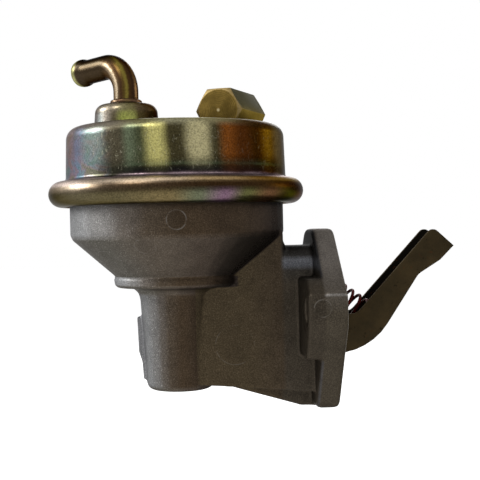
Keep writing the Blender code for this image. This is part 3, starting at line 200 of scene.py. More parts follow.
zincTones = {
    "ash": "a8938f", "steelBlue": "7d889e", "pewter": "787e75", "fawn": "544e3e", "seaGreen": "68725a",
    "moss": "4b4f38", "straw": "cbc37a", "peat": "46402a", "sand": "beb589", "amber": "7c471b",
    "rust": "4e2b10", "bark": "301f09", "bronze": "54401c", "khaki": "6e6048",
}
zincFinish = {
    "wall": [
        (0.000, "ash"), (0.060, "ash"), (0.085, "steelBlue"), (0.110, "pewter"), (0.133, "pewter"),
        (0.152, "fawn"), (0.170, "fawn"), (0.185, "seaGreen"), (0.202, "moss"), (0.221, "straw"),
        (0.228, "straw"), (0.243, "peat"), (0.256, "peat"), (0.274, "sand"), (0.287, "sand"),
        (0.303, "peat"), (0.320, "amber"), (0.345, "rust"), (0.372, "bark"), (0.405, "bronze"),
        (0.430, "khaki"), (0.560, "fawn"), (0.640, "straw"), (0.720, "peat"), (0.800, "sand"),
        (0.860, "seaGreen"), (0.930, "amber"), (1.000, "ash")],
    "wander": 0.014,
    "wallSpan": (0.0762, 0.0968),
    "redTurn": [(0.0, 0.0), (0.22, 0.3), (0.30, 0.8), (0.33, 1.0), (0.41, 1.0), (0.44, 0.2)],
    "redLevel": [(0.0, 0.40), (0.24, 0.42), (0.38, 0.95), (1.0, 1.0)],
    "foot": [
        (0.00, "bca5ac"), (0.035, "b8a2a8"), (0.055, "6c5c62"), (0.075, "2c2428"), (0.110, "18171a"),
        (0.175, "22221b"), (0.215, "50604a"), (0.255, "3f4432"), (0.31, "6f6c50")],
    "footLevel": [(0.0, 1.0), (0.15, 0.9), (0.20, 0.45), (0.26, 0.25), (0.31, 0.0)],
    "footTurn": [
        (0.0, 0.0), (0.11, 0.1), (0.14, 0.8), (0.19, 1.0), (0.29, 1.0), (0.33, 0.55), (0.40, 0.4),
        (1.0, 0.5)],
    "darkFoot": "2c2d24",
    "darkFootTurn": [(0.16, 1.0), (0.20, 0.0)],
    "corner": [
        (0.0, "7c7274"), (0.08, "a0938c"), (0.15, "948b7c"), (0.20, "8a8460"), (0.25, "a8a384"),
        (0.30, "98906c"), (0.36, "5c4c38"), (0.42, "5a4a34"), (0.50, "6b6152"), (0.75, "7a7250"),
        (1.0, "7c7274")],
    "cornerHighlightLevel": [(0.83, 0.0), (0.89, 0.4), (0.93, 0.9), (0.97, 0.95), (1.0, 0.5)],
    "patches": [(0.36, "6f9c9c"), (0.46, "8fa0b4"), (0.54, "ad92a0"), (0.64, "958c70")],
    "patchTurn": [(0.0, 0.65), (0.09, 0.65), (0.13, 0.3), (0.16, 0.0), (0.90, 0.0), (1.0, 0.4)],
    "patchLevel": [(0.0, 1.0), (0.35, 0.8), (0.55, 0.4), (0.80, 0.5), (0.90, 0.0)],
    "top": ("7f7a50", "968c62"),
    "topEdge": (0.0385, 0.0360),
    "scratch": "b9b59c",
    "scratchSize": [(0.615, 0.0), (0.66, 1.0)],
    "scratchTurn": [
        (0.0, 0.05), (0.105, 0.15), (0.12, 0.6), (0.165, 0.5), (0.19, 0.35), (0.30, 0.25), (0.33, 0.05),
        (1.0, 0.1)],
    "scratchLevel": [(0.08, 0.0), (0.14, 1.0), (0.80, 0.8), (0.90, 0.0)],
    "rimTop": 0.07660,
    "rimSpan": (0.0672, 0.0768),
    "crownAndHighlight": [
        (0.0, "9a8a84"), (0.09, "c8b8ae"), (0.15, "7c7062"), (0.22, "a18f78"), (0.29, "806c4c"),
        (0.36, "5c4626"), (0.44, "6e5a34"), (0.50, "7d6f58"), (0.75, "8d805c"), (1.0, "9a8a84")],
    "crownHighlightLevel": [(0.66, 0.0), (0.80, 1.0)],
    "waist": [
        (0.0, "665b4c"), (0.10, "776b5c"), (0.20, "5c4a36"), (0.30, "4a3520"), (0.38, "4a3620"),
        (0.45, "5a4630"), (0.60, "5c4a36"), (1.0, "6b5c50")],
    "waistLevel": [(0.36, 0.0), (0.56, 1.0)],
    "under": [
        (0.0, "655c48"), (0.10, "6e6650"), (0.17, "62593f"), (0.24, "7a6b49"), (0.275, "6c7058"),
        (0.305, "86697c"), (0.335, "6a6a40"), (0.37, "77563c"), (0.41, "5c5a2c"), (0.46, "6a4a34"),
        (0.60, "75663f"), (1.0, "6c5c4c")],
    "crease": "bba6a6",
    "creaseHighlightLevel": [(0.89, 0.0), (0.95, 0.85)],
    "thinLightAndShade": [
        (0.0, 1.2), (0.08, 1.05), (0.28, 0.95), (0.45, 0.54), (0.64, 0.60), (0.73, 0.85), (0.79, 2.1),
        (0.85, 2.1), (0.91, 1.4), (1.0, 1.7)],
    "wideLightAndShade": [
        (0.0, 1.05), (0.10, 0.9), (0.30, 0.75), (0.42, 0.85), (0.52, 1.5), (0.66, 2.2), (0.84, 2.0),
        (0.91, 1.1), (1.0, 1.1)],
    "wideLightAndShadeTurn": [
        (0.0, 0.2), (0.04, 0.8), (0.07, 1.0), (0.12, 1.0), (0.16, 0.0), (0.95, 0.0), (1.0, 0.2)],
    "boss": [
        (0.00, "9c8f90"), (0.06, "93908f"), (0.10, "9ca19e"), (0.15, "978d80"), (0.19, "585038"),
        (0.24, "a3aa55"), (0.28, "a9ae5e"), (0.32, "4c4222"), (0.37, "38290c"), (0.41, "54401c"),
        (0.44, "4a3618"), (0.50, "5c4a2c"), (0.75, "7c7348"), (1.00, "9c8f90")],
    "bossRadius": 0.0129,
    "bossSpan": (coverTop + 0.0015, coverTop + 0.0088),
    "shoulder": [
        (0.0, "8e8278"), (0.16, "9c917e"), (0.27, "70634c"), (0.36, "50402c"), (0.5, "5c4a34"),
        (1.0, "8e8278")],
    "shoulderLevel": [(0.0, 0.0), (0.42, 0.25), (0.62, 0.8), (1.0, 0.9)],
    "grain": 1700.0,
    "speckle": [(0.36, 0.66), (0.50, 1.0), (0.66, 1.30)],
    "depth": 0.66,
    "roughness": (0.26, 0.40),
    "bump": 0.00006,
}


def zincFilm():
    look = zincFinish
    material, tree, place = newMaterial("yellowZinc", 1.0, 0.28)
    band = bandsOf(tree, look)
    turn, height, away = aroundAxis(tree, place, pumpAxis)
    drift = wander(tree, noise(tree, place, 55.0, 2.0), look["wander"])
    turn = plus(tree, turn, drift)

    # the bands of the wall, partly the zinc film's own colours and partly painted reflections, of which
    # the red-brown ones are darker lower down
    level = between(tree, height, *look["wallSpan"])
    wall = ramp(tree, turn, [(at, zincTones[tone]) for at, tone in look["wall"]], smooth=True)
    darker = tint(tree, wall, band(level, "redLevel"))
    wall = mix(tree, band(turn, "redTurn"), wall, darker)

    # a pink line, a dark band and green marks run along the wall's foot
    ragged = plus(tree, level, wander(tree, noise(tree, place, 210.0), 0.05))
    foot = band(ragged, "foot")
    foot = mix(tree, band(turn, "darkFootTurn"), foot, look["darkFoot"])
    footShare = times(tree, band(level, "footLevel"), band(turn, "footTurn"))
    wall = mix(tree, footShare, wall, foot)

    # the corner at the top: a thin dark edge, then a painted highlight that fades to the right
    wall = mix(tree, band(level, "cornerHighlightLevel"), wall, band(turn, "corner", smooth=True))

    # teal and pink patches low on the left, and an even olive top
    patches = band(noise(tree, stretched(tree, place, 1.6), 95.0, 2.0, 0.5, 1.0), "patches")
    patchShare = times(tree, band(turn, "patchTurn"), band(level, "patchLevel"))
    wall = mix(tree, patchShare, wall, patches)
    top = mix(tree, ramp(tree, noise(tree, place, 45.0), [(0.38, 0.0), (0.62, 1.0)]), *look["top"])
    wall = mix(tree, between(tree, away, *look["topEdge"]), wall, top)

    # fine bright scratches, most of them in the grey and sea green bands
    scratches = noise(tree, stretched(tree, place, 0.45), 1250.0, 2.0, 0.75, 0.6)
    scratches = times(tree, band(scratches, "scratchSize"), band(turn, "scratchTurn"))
    scratches = times(tree, scratches, band(level, "scratchLevel"))
    wall = mix(tree, scratches, wall, look["scratch"])

    # rolled rim: a painted highlight on the crown, a brown waist and coloured underside, with painted
    # light and shade along its roll
    rimLevel = between(tree, height, *look["rimSpan"])
    crownAndHighlight = band(turn, "crownAndHighlight", smooth=True)
    waist = band(turn, "waist", smooth=True)
    under = band(turn, "under", smooth=True)
    rim = mix(tree, band(rimLevel, "waistLevel"), under, waist)
    rim = mix(tree, band(rimLevel, "crownHighlightLevel"), rim, crownAndHighlight)
    # the pink line at the rim's top crease is a painted highlight
    rim = mix(tree, band(rimLevel, "creaseHighlightLevel"), rim, look["crease"])
    rimLightAndShade = mix(tree, band(turn, "wideLightAndShadeTurn"), band(rimLevel, "thinLightAndShade"), band(rimLevel, "wideLightAndShade"))
    rim = tint(tree, rim, rimLightAndShade)
    color = mix(tree, below(tree, height, look["rimTop"]), wall, rim)

    # the hose boss has bands of its own, partly film colours and partly painted reflections, under a pale
    # shoulder
    bossTurn, _, awayFromBoss = aroundAxis(tree, place, bossAxis)
    boss = band(plus(tree, bossTurn, drift), "boss", smooth=True)
    bossLevel = between(tree, height, *look["bossSpan"])
    boss = mix(tree, band(bossLevel, "shoulderLevel"), boss, band(bossTurn, "shoulder"))
    onBoss = below(tree, awayFromBoss, look["bossRadius"])
    onBoss = times(tree, onBoss, above(tree, height, coverTop - 0.0003))
    color = mix(tree, onBoss, color, boss)

    grain = noise(tree, place, look["grain"], 2.0, 0.7)
    color = tint(tree, color, band(grain, "speckle"))
    color = tint(tree, color, [look["depth"]] * 3 + [1.0])
    roughness = spread(tree, noise(tree, place, 240.0), *look["roughness"])
    bumps = plus(tree, times(tree, grain, 0.3), noise(tree, place, 130.0, 2.0))
    return finished(material, color, roughness, bumps, look["bump"])


# Round the tube, 0 is the inside of the bend, 0.25 the front and 0.5 the outside. Its spans are shares of
# its length
nippleFinish = {
    # the bands hold a painted highlight streak near 0.25 and painted reflections along the tube
    "bandsAndStreak": [
        (0.00, "4e3f2f"), (0.12, "554434"), (0.18, "5c4a38"), (0.215, "85745e"), (0.255, "a09078"),
        (0.29, "4e3d2a"), (0.325, "3f2c1c"), (0.36, "4a3a1c"), (0.40, "6c602a"), (0.44, "3a2815"),
        (0.49, "2e1f14"), (0.54, "57432c"), (0.60, "33241a"), (0.68, "4e3d2a"), (0.85, "57452f"),
        (1.00, "4e3f2f")],
    "wander": 0.05,
    "lift": 0.075, "liftSpan": (0.40, 0.80),  # how far the bands turn upward along the leg
    "leg": "2c251b", "legShare": 0.85, "legSpan": (0.44, 0.58),
    # painted shade darkens the upper side of the leg
    "topShade": 0.35, "topSpan": (0.42, 0.60),  # how dark the upper side of the leg is
    "topTurn": [(0.34, 0.0), (0.44, 1.0), (0.62, 1.0), (0.74, 0.0)],
    "collar": "594434",
    "collarPlace": [(0.045, 0.0), (0.055, 0.75), (0.13, 0.7), (0.15, 0.0)],
    "bead": "9e9b6a",
    "beadPlace": [(0.80, 0.0), (0.86, 0.8)],
    "grain": 1700.0,
    "speckle": [(0.36, 0.82), (0.52, 1.0), (0.66, 1.16)],
    "roughness": (0.26, 0.42), "bump": 0.00004,
    "map": "tubeMap",
}


def plated(material, tree, place, color, cloud, look):
    grain = noise(tree, place, look["grain"], 2.0, 0.7)
    color = tint(tree, color, ramp(tree, grain, look["speckle"]))
    bumps = plus(tree, cloud, times(tree, grain, 0.4))
    return finished(material, color, spread(tree, cloud, *look["roughness"]), bumps, look["bump"])


def bronzeZinc():
    look = nippleFinish
    material, tree, place = newMaterial("bronzeZinc", 1.0, 0.24)
    band = bandsOf(tree, look)
    around, along, _ = parts(tree, addNode(tree, "UVMap", uv_map=look["map"]).outputs[0])
    cloud = noise(tree, place, 260.0, 3.0, 0.6)
    lift = times(tree, between(tree, along, *look["liftSpan"]), look["lift"])
    banded = plus(tree, minus(tree, around, lift), wander(tree, cloud, look["wander"]))
    # bands of the plating with a painted highlight streak and painted reflections
    color = band(banded, "bandsAndStreak", smooth=True)
    onLeg = times(tree, between(tree, along, *look["legSpan"]), look["legShare"])
    color = mix(tree, onLeg, color, look["leg"])
    # painted shade on the upper side of the leg
    onTop = times(tree, band(around, "topTurn"), between(tree, along, *look["topSpan"]))
    color = tint(tree, color, spread(tree, onTop, 1.0, look["topShade"]))
    color = mix(tree, band(along, "collarPlace"), color, look["collar"])
    color = mix(tree, band(along, "beadPlace"), color, look["bead"])
    return plated(material, tree, place, color, cloud, look)


hexFinish = {
    "axis": Vector((0.4163, 0.9092, 0)),
    "endCentre": Vector((-0.04183, -0.00697, 0.10215)),
    "end": ("746030", "584822"),
    "endFacing": [(0.55, 0.0), (0.62, 1.0)],
    "turningMarks": 9500.0,
    "dot": "b3a47c", "dotRadius": (0.0007, 0.0004),
    "sides": ("7c6a36", "4f4c3b"),  # those that face sideways, and those that face up
    "sideFacing": (0.10, 0.50),
    # a painted highlight on the chamfers at the end
    "edge": "82704a",
    "chamferHighlightFacing": [(0.56, 0.0), (0.66, 0.85), (0.94, 0.85), (0.985, 0.0)],
    "stains": [(0.35, 0.86), (0.65, 1.1)],
    "grain": 1900.0,
    "speckle": [(0.36, 0.84), (0.52, 1.0), (0.66, 1.14)],
    "roughness": (0.42, 0.58), "bump": 0.00005,
}


def oliveZinc():
    look = hexFinish
    material, tree, place = newMaterial("oliveZinc", 1.0, 0.34)
    band = bandsOf(tree, look)
    cloud = noise(tree, place, 190.0, 3.0, 0.6)
    away = awayFrom(tree, place, look["endCentre"])
    facing = addNode(tree, "NewGeometry").outputs["Normal"]
    toEnd = addNode(tree, "VectorMath", {0: facing, 1: -look["axis"]}, operation="DOT_PRODUCT")
    toEnd = toEnd.outputs["Value"]
    upward = parts(tree, facing)[2]
    marks = times(tree, plus(tree, away, times(tree, cloud, 0.0006)), look["turningMarks"])
    marks = plus(tree, times(tree, maths(tree, "SINE", marks), 0.10), cloud)
    end = mix(tree, ramp(tree, marks, [(0.38, 0.0), (0.62, 1.0)]), *look["end"])
    end = mix(tree, between(tree, away, *look["dotRadius"]), end, look["dot"])
    sides = mix(tree, between(tree, upward, *look["sideFacing"]), *look["sides"])
    sides = tint(tree, sides, band(cloud, "stains"))
    color = mix(tree, band(toEnd, "endFacing"), sides, end)
    # a painted highlight on the chamfers
    color = mix(tree, band(toEnd, "chamferHighlightFacing"), color, look["edge"])
    return plated(material, tree, place, color, cloud, look)


castFinish = {
    # painted light: cool and light at the left, warm in front
    "wallTonesAndLight": [
        (0.00, "6a6a6c"), (0.08, "707070"), (0.135, "62605e"), (0.175, "504a44"), (0.21, "443b31"),
        (0.26, "3e3327"), (0.33, "382e24"), (0.42, "2a2420"), (0.55, "332d27"), (0.75, "443f38"),
        (0.90, "5a5854"), (1.00, "6a6a6c")],
    "wander": 0.03,
    "bowlFoot": 0.0362,
    "bowlLight": [
        (0.0, 1.3), (0.12, 1.42), (0.17, 1.28), (0.21, 1.10), (0.25, 1.05), (0.80, 1.0), (1.0, 1.3)],
    "undersideShade": [
        (0.00, "575450"), (0.12, "55524c"), (0.22, "524a41"), (0.30, "483f37"), (0.36, "37312b"),
        (0.44, "2a2521"), (0.60, "3d3730"), (0.85, "4c4842"), (1.00, "575450")],
    "undersideShadeFacing": (0.25, 0.6),
    "turnedRadius": [  # share of 50 mm, by the share of 60 mm of height
        (0.600, 0.25), (0.606, 0.492), (0.671, 0.492), (0.675, 0.465), (0.9225, 0.805)],
    "turnedSize": (0.050, 0.060),
    "housing": ("41382a", "3a3128"), "housingSpan": (-0.034, -0.014),
    "housingStart": -0.052, "housingEdge": (0.0003, 0.0009),
    "flange": ("3f3930", "5c5752"), "flangeSpan": (0.028, 0.046), "flangeEdge": (-0.0150, -0.0080),
    # painted cool light on the faces that turn to the left
    "coolLight": "4b4e55", "coolLightFacing": (0.35, 0.9), "coolLightShare": 0.85,
    # a painted highlight along each ear's upper corner
    "crease": "8a8784", "creaseHighlightPlace": (0, 0.0418, 0.0342), "creaseHighlightWidth": (0.0007, 0.0002),
    "creaseHighlightStart": -0.0142, "creaseHighlightShare": 0.45,
    # painted highlight and shade on the neck
    "neckLightAndShade": [
        (0.0, "3a342c"), (0.36, "38342f"), (0.52, "55565a"), (0.62, "5a5b5f"), (0.76, "302e2c"),
        (1.0, "24221f")],
    "neckSpan": (0.036, 0.0515), "neckLeft": (-0.0205, -0.0190), "neckRight": (-0.0075, -0.0085),
    "rimShade": [(0.0, 1.0), (0.45, 0.92), (0.85, 0.5), (1.0, 0.35)],
    "rimShadeSpan": (0.0630, 0.0676),
    "grain": 2400.0,
    "speckle": [(0.36, 0.74), (0.50, 1.0), (0.64, 1.34)],
    "glint": "cac9c6",
    "glintSize": [(0.64, 0.0), (0.74, 1.0)],
    "glintTurn": [(0.0, 0.45), (0.13, 0.6), (0.19, 0.15), (0.25, 0.03), (0.85, 0.0), (1.0, 0.45)],
    "stains": [(0.32, 0.84), (0.50, 1.0), (0.68, 1.10)],
    "pit": "1a1713", "pitSize": [(0.05, 1.0), (0.10, 0.0)], "pitPlace": [(0.55, 0.0), (0.62, 1.0)],
    "ring": "7b7772", "ringGaps": [(0.44, 0.0), (0.56, 1.0)],
    "faintRings": [  # centre, radius, line width and strength of the marks that the die's pins leave
        (Vector((-0.0585, -0.04012, 0.0613)), 0.0034, 0.00030, 0.45),
        (Vector((-0.0695, -0.0347, 0.0522)), 0.0038, 0.00025, 0.25),
        (Vector((-0.0378, -0.0125, 0.0148)), 0.0072, 0.00022, 0.18),
        (Vector((-0.0090, -0.04222, 0.0297)), 0.0030, 0.00022, 0.38)],
    "milled": ("a8a49c", "8f8b84"), "milledStart": -0.0006, "milledFacing": 0.93,
    "roughness": (0.44, 0.58), "bump": 0.00010,
}


def castMetal():
    look = castFinish
    material, tree, place = newMaterial("dieCast", 0.88, 0.5, 0.3)
    band = bandsOf(tree, look)
    turn, height, away = aroundAxis(tree, place, pumpAxis)
    x, y, _ = parts(tree, place)
    toFlange, _, upward = parts(tree, addNode(tree, "NewGeometry").outputs["Normal"])
    cloud = noise(tree, place, 60.0, 4.0, 0.6)
    turn = plus(tree, turn, wander(tree, cloud, look["wander"]))

    # bowl, ring and stem: painted light makes them cool and light on the left and warm in front, with a
    # painted highlight at the left of the bowl
    color = band(turn, "wallTonesAndLight", smooth=True)
    bowl = tint(tree, color, band(turn, "bowlLight"))
    color = mix(tree, above(tree, height, look["bowlFoot"]), color, bowl)
    # painted shade on the surfaces that face down
    undersideShade = band(turn, "undersideShade", smooth=True)
    downward = times(tree, upward, -1.0)
    color = mix(tree, between(tree, downward, *look["undersideShadeFacing"]), color, undersideShade)

    # arm housing, which is whatever lies outside the turned part, and flange
    wide, tall = look["turnedSize"]
    turned = times(tree, band(between(tree, height, 0.0, tall), "turnedRadius"), wide)
    outside = between(tree, minus(tree, away, turned), *look["housingEdge"])
    onHousing = times(tree, outside, above(tree, x, look["housingStart"]))
    housing = mix(tree, between(tree, x, *look["housingSpan"]), *look["housing"])
    color = mix(tree, onHousing, color, housing)
    onFlange = between(tree, x, *look["flangeEdge"])
    flange = mix(tree, between(tree, height, *look["flangeSpan"]), *look["flange"])
    color = mix(tree, onFlange, color, flange)
    # a painted cool light on the flange's faces that turn to the left
    onLitBack = times(tree, between(tree, times(tree, toFlange, -1.0), *look["coolLightFacing"]), onFlange)
    color = mix(tree, times(tree, onLitBack, look["coolLightShare"]), color, look["coolLight"])

    # a painted highlight along the upper corner of each ear
    folded = addNode(tree, "CombineXYZ", {1: maths(tree, "ABSOLUTE", y), 2: height}).outputs[0]
    earCreaseHighlight = between(tree, awayFrom(tree, folded, look["creaseHighlightPlace"]), *look["creaseHighlightWidth"])
    earCreaseHighlight = times(tree, earCreaseHighlight, above(tree, x, look["creaseHighlightStart"]))
    color = mix(tree, times(tree, earCreaseHighlight, look["creaseHighlightShare"]), color, look["crease"])

    # the rounded neck has a painted cool highlight below a painted dark top
    atNeck = times(tree, between(tree, x, *look["neckLeft"]), between(tree, x, *look["neckRight"]))
    neckLightAndShade = band(between(tree, height, *look["neckSpan"]), "neckLightAndShade", smooth=True)
    color = mix(tree, times(tree, atNeck, onHousing), color, neckLightAndShade)

    # shade that gathers under the rim
    color = tint(tree, color, band(between(tree, height, *look["rimShadeSpan"]), "rimShade"))

    # grain with bright glints at the left, stains and pits
    grain = noise(tree, place, look["grain"], 2.0, 0.6)
    color = tint(tree, color, band(grain, "speckle"))
    glint = times(tree, band(grain, "glintSize"), band(turn, "glintTurn"))
    color = mix(tree, glint, color, look["glint"])
    color = tint(tree, color, band(noise(tree, place, 150.0, 5.0, 0.65), "stains"))
    cells = addNode(tree, "TexVoronoi", {"Vector": place, "Scale": 420.0}).outputs["Distance"]
    somewhere = band(noise(tree, place, 70.0, 2.0), "pitPlace")
    pits = times(tree, band(cells, "pitSize"), somewhere)
    color = mix(tree, pits, color, look["pit"])

    # faint broken rings where the die's pins left marks, lighter as a painted highlight on their edges and
    # a little darker within
    broken = band(noise(tree, place, 170.0), "ringGaps")
    for centre, radius, width, strength in look["faintRings"]:
        fromCentre = awayFrom(tree, place, centre)
        off = maths(tree, "ABSOLUTE", minus(tree, fromCentre, radius))
        line = times(tree, between(tree, off, width, width * 0.3), strength)
        color = mix(tree, times(tree, line, broken), color, look["ring"])
        within = between(tree, fromCentre, radius, radius * 0.8)
        color = mix(tree, times(tree, within, strength * 0.35), color, look["pit"])

    # the mounting face is milled bright
    milled = times(tree, above(tree, x, look["milledStart"]), above(tree, toFlange, look["milledFacing"]))
    cuts = addNode(tree, "TexWave", {"Vector": place, "Scale": 260.0, "Distortion": 1.5, "Detail": 2.0},
                   wave_type="RINGS", rings_direction="X").outputs["Fac"]
    color = mix(tree, milled, color, mix(tree, cuts, *look["milled"]))
    bumps = plus(tree, times(tree, grain, 0.7), times(tree, noise(tree, place, 420.0), 1.1))
    bumps = minus(tree, bumps, times(tree, pits, 0.8))
    return finished(material, color, spread(tree, cloud, *look["roughness"]), bumps, look["bump"], 0.7)


armFinish = {
    "body": "392f1e", "shade": "2c2518", "rust": "4a2c18", "shearedAndLit": "584d3b", "inside": "14110d",
    "cloud": [(0.35, 0.0), (0.62, 1.0)],
    "rustSize": [(0.60, 0.0), (0.67, 1.0)], "rustPlace": [(0.45, 0.0), (0.6, 0.9)], "rustRoughness": 0.3,
    "darkSpots": [(0.27, 0.4), (0.32, 1.0)],
    "smooth": (0.46, 0.60), "rough": (0.75, 0.85), "bump": 0.00007,
}


def oiledSteel(name, light, dark, roughness):
    look = armFinish
    material, tree, place = newMaterial(name, 0.85, 0.45, 0.3)
    band = bandsOf(tree, look)
    cloud = noise(tree, place, 90.0, 4.0, 0.65)
    color = mix(tree, band(cloud, "cloud"), look[dark], look[light])
    spots = band(noise(tree, place, 620.0, 3.0, 0.7), "rustSize")
    rust = times(tree, spots, band(noise(tree, place, 60.0, 2.0), "rustPlace"))
    color = mix(tree, rust, color, look["rust"])
    color = tint(tree, color, band(noise(tree, place, 560.0, 2.0), "darkSpots"))
    rough = plus(tree, spread(tree, cloud, *look[roughness]), times(tree, rust, look["rustRoughness"]))
    bumps = plus(tree, times(tree, noise(tree, place, 1900.0, 2.0), 0.5), cloud)
    return finished(material, color, rough, bumps, look["bump"], 0.6)


def softFinish(name, light, dark, roughness, metallic, scale, bump, shine=0.5):
    material, tree, place = newMaterial(name, metallic, roughness, shine)
    cloud = noise(tree, place, scale, 4.0, 0.6)
    color = mix(tree, ramp(tree, cloud, [(0.35, 0.0), (0.65, 1.0)]), dark, light)
    rough = spread(tree, cloud, roughness * 0.85, min(1.0, roughness * 1.15))
    return finished(material, color, rough, cloud, bump)


finish = {
    "cover": zincFilm(),
    "nipple": bronzeZinc(),
    "fitting": oliveZinc(),
    "casting": castMetal(),
    "arm": oiledSteel("oiledSteel", "body", "shade", "smooth"),
    "shearedAndLit": oiledSteel("shearedEdgeLit", "shearedAndLit", "body", "rough"),
    "inside": oiledSteel("channelInsideShade", "inside", "inside", "rough"),
    "steel": softFinish("brightSteel", "a3a29c", "86857f", 0.34, 1.0, 380.0, 0.00004),
    "wire": softFinish("springWire", "8f8e8a", "6d6c69", 0.32, 1.0, 500.0, 0.00003),
    "redWire": softFinish("redLacquer", "5a130d", "300a07", 0.60, 0.0, 420.0, 0.00005, 0.2),
    "brass": softFinish("dullBrass", "9c8552", "7a6638", 0.42, 1.0, 300.0, 0.00004),
    "rubber": softFinish("blackRubber", "26262a", "17171a", 0.75, 0.0, 700.0, 0.00006),
    "cloth": softFinish("rubberCloth", "2b2a28", "1b1b1b", 0.82, 0.0, 2200.0, 0.00010),
    "fibre": softFinish("pressedFibre", "7a4a30", "57331f", 0.8, 0.0, 1500.0, 0.00008),
}
print("finishes made:", len(finish))


# Mesh helpers

def addObject(name, data):
    made = bpy.data.objects.new(name, data)
    bpy.context.scene.collection.objects.link(made)
    return made


def addPiece(name, mesh, materials, body, node):
    piece = addObject(name, mesh)
    mesh.materials.clear()
    for material in materials:
        mesh.materials.append(material)
    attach(piece, body)
    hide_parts(node)
    return piece


def settled(name, mesh, modifiers):
    holder = addObject(name, mesh)
    for kind, settings in modifiers:
        made = holder.modifiers.new(kind.lower(), kind)
        for key, value in settings.items():
            setattr(made, key, value)
    graph = bpy.context.evaluated_depsgraph_get()
    graph.update()
    result = bpy.data.meshes.new_from_object(holder.evaluated_get(graph))
    bpy.data.objects.remove(holder)
    result.name = name
    return result


def toMesh(form, name):
    mesh = bpy.data.meshes.new(name)
    form.to_mesh(mesh)
    form.free()
    return mesh


weldDistance = 0.000002


def nodeMesh(node, flatAngle=0.6):
    form = bmesh.new()
    form.from_mesh(cadNodes[node].data)
    bmesh.ops.remove_doubles(form, verts=form.verts, dist=weldDistance)
    if flatAngle:
        bmesh.ops.dissolve_limit(
            form, angle_limit=math.radians(flatAngle), verts=form.verts, edges=form.edges)
    return toMesh(form, node)


def softShade(mesh, angle):
    mesh.shade_smooth()
    mesh.set_sharp_from_angle(angle=math.radians(angle))
    return mesh


def spun(name, profile, centre, steps):
    form = bmesh.new()
    rings = []
    for radius, level in profile:
        if radius < 1e-7:
            rings.append([form.verts.new((centre.x, centre.y, level))])
            continue
        rings.append([form.verts.new((
            centre.x + radius * math.cos(2 * math.pi * i / steps),
            centre.y + radius * math.sin(2 * math.pi * i / steps), level)) for i in range(steps)])
    for upper, lower in zip(rings, rings[1:]):
        for i in range(steps):
            j = (i + 1) % steps
            if len(upper) == 1:
                form.faces.new((upper[0], lower[i], lower[j]))
            elif len(lower) == 1:
                form.faces.new((upper[i], lower[0], upper[j]))
            else:
                form.faces.new((upper[i], lower[i], lower[j], upper[j]))
    bmesh.ops.recalc_face_normals(form, faces=form.faces)
    return toMesh(form, name)


def sweep(name, points, radii, sides, side=None, ringMap=None):
    form = bmesh.new()
    sheet = form.loops.layers.uv.new(ringMap) if ringMap else None
    rings = []
    for index, point in enumerate(points):
        ahead = points[min(index + 1, len(points) - 1)] - points[max(index - 1, 0)]
        ahead.normalize()
        if side is None:
            side = ahead.orthogonal()
        side = (side - ahead * side.dot(ahead)).normalized()
        other = ahead.cross(side)
        radius = radii[index] if isinstance(radii, list) else radii
        rings.append([form.verts.new(point + (side * math.cos(2 * math.pi * i / sides)
                                              + other * math.sin(2 * math.pi * i / sides)) * radius)
                      for i in range(sides)])
    for index, (first, second) in enumerate(zip(rings, rings[1:])):
        for i in range(sides):
            j = (i + 1) % sides
            face = form.faces.new((first[i], first[j], second[j], second[i]))
            if sheet:
                corners = ((i, index), (i + 1, index), (i + 1, index + 1), (i, index + 1))
                for loop, (u, v) in zip(face.loops, corners):
                    loop[sheet].uv = (u / sides, v / (len(points) - 1))
    form.faces.new(list(reversed(rings[0])))
    form.faces.new(rings[-1])
    bmesh.ops.recalc_face_normals(form, faces=form.faces)
    return toMesh(form, name)


def arc(centre, radius, start, stop, steps):
    for step in range(steps + 1):
        turn = math.radians(start + (stop - start) * step / steps)
        yield centre[0] + radius * math.cos(turn), centre[1] + radius * math.sin(turn)


# Casting: the solid's own form with cast fillets worked into every corner

castForm = {
    "voxel": 0.00052, "smoothing": 3, "faceLimit": 172000,
    "ribStart": -0.0455, "ribEnd": -0.0062, "ribHalf": 0.0048,
    "ribTop": 0.0050, "ribDepth": 0.0080, "ribDrop": 0.0012, "lowest": -0.0096,
    "footStart": -0.0088, "footLevel": -0.0060, "footShare": 0.78,
    "sheet": 0.0085, "sheetGrowth": 1.15, "earBack": 0.0140,
    "halfWidth": 0.0106, "flare": 0.095,
    "neckStart": -0.0196, "neckEnd": -0.0068, "neckFade": 0.0008,
    "neckTop": 0.0510, "neckRadius": 0.0064, "neckReach": 1.08, "neckBlend": (0.62, 0.2),
}


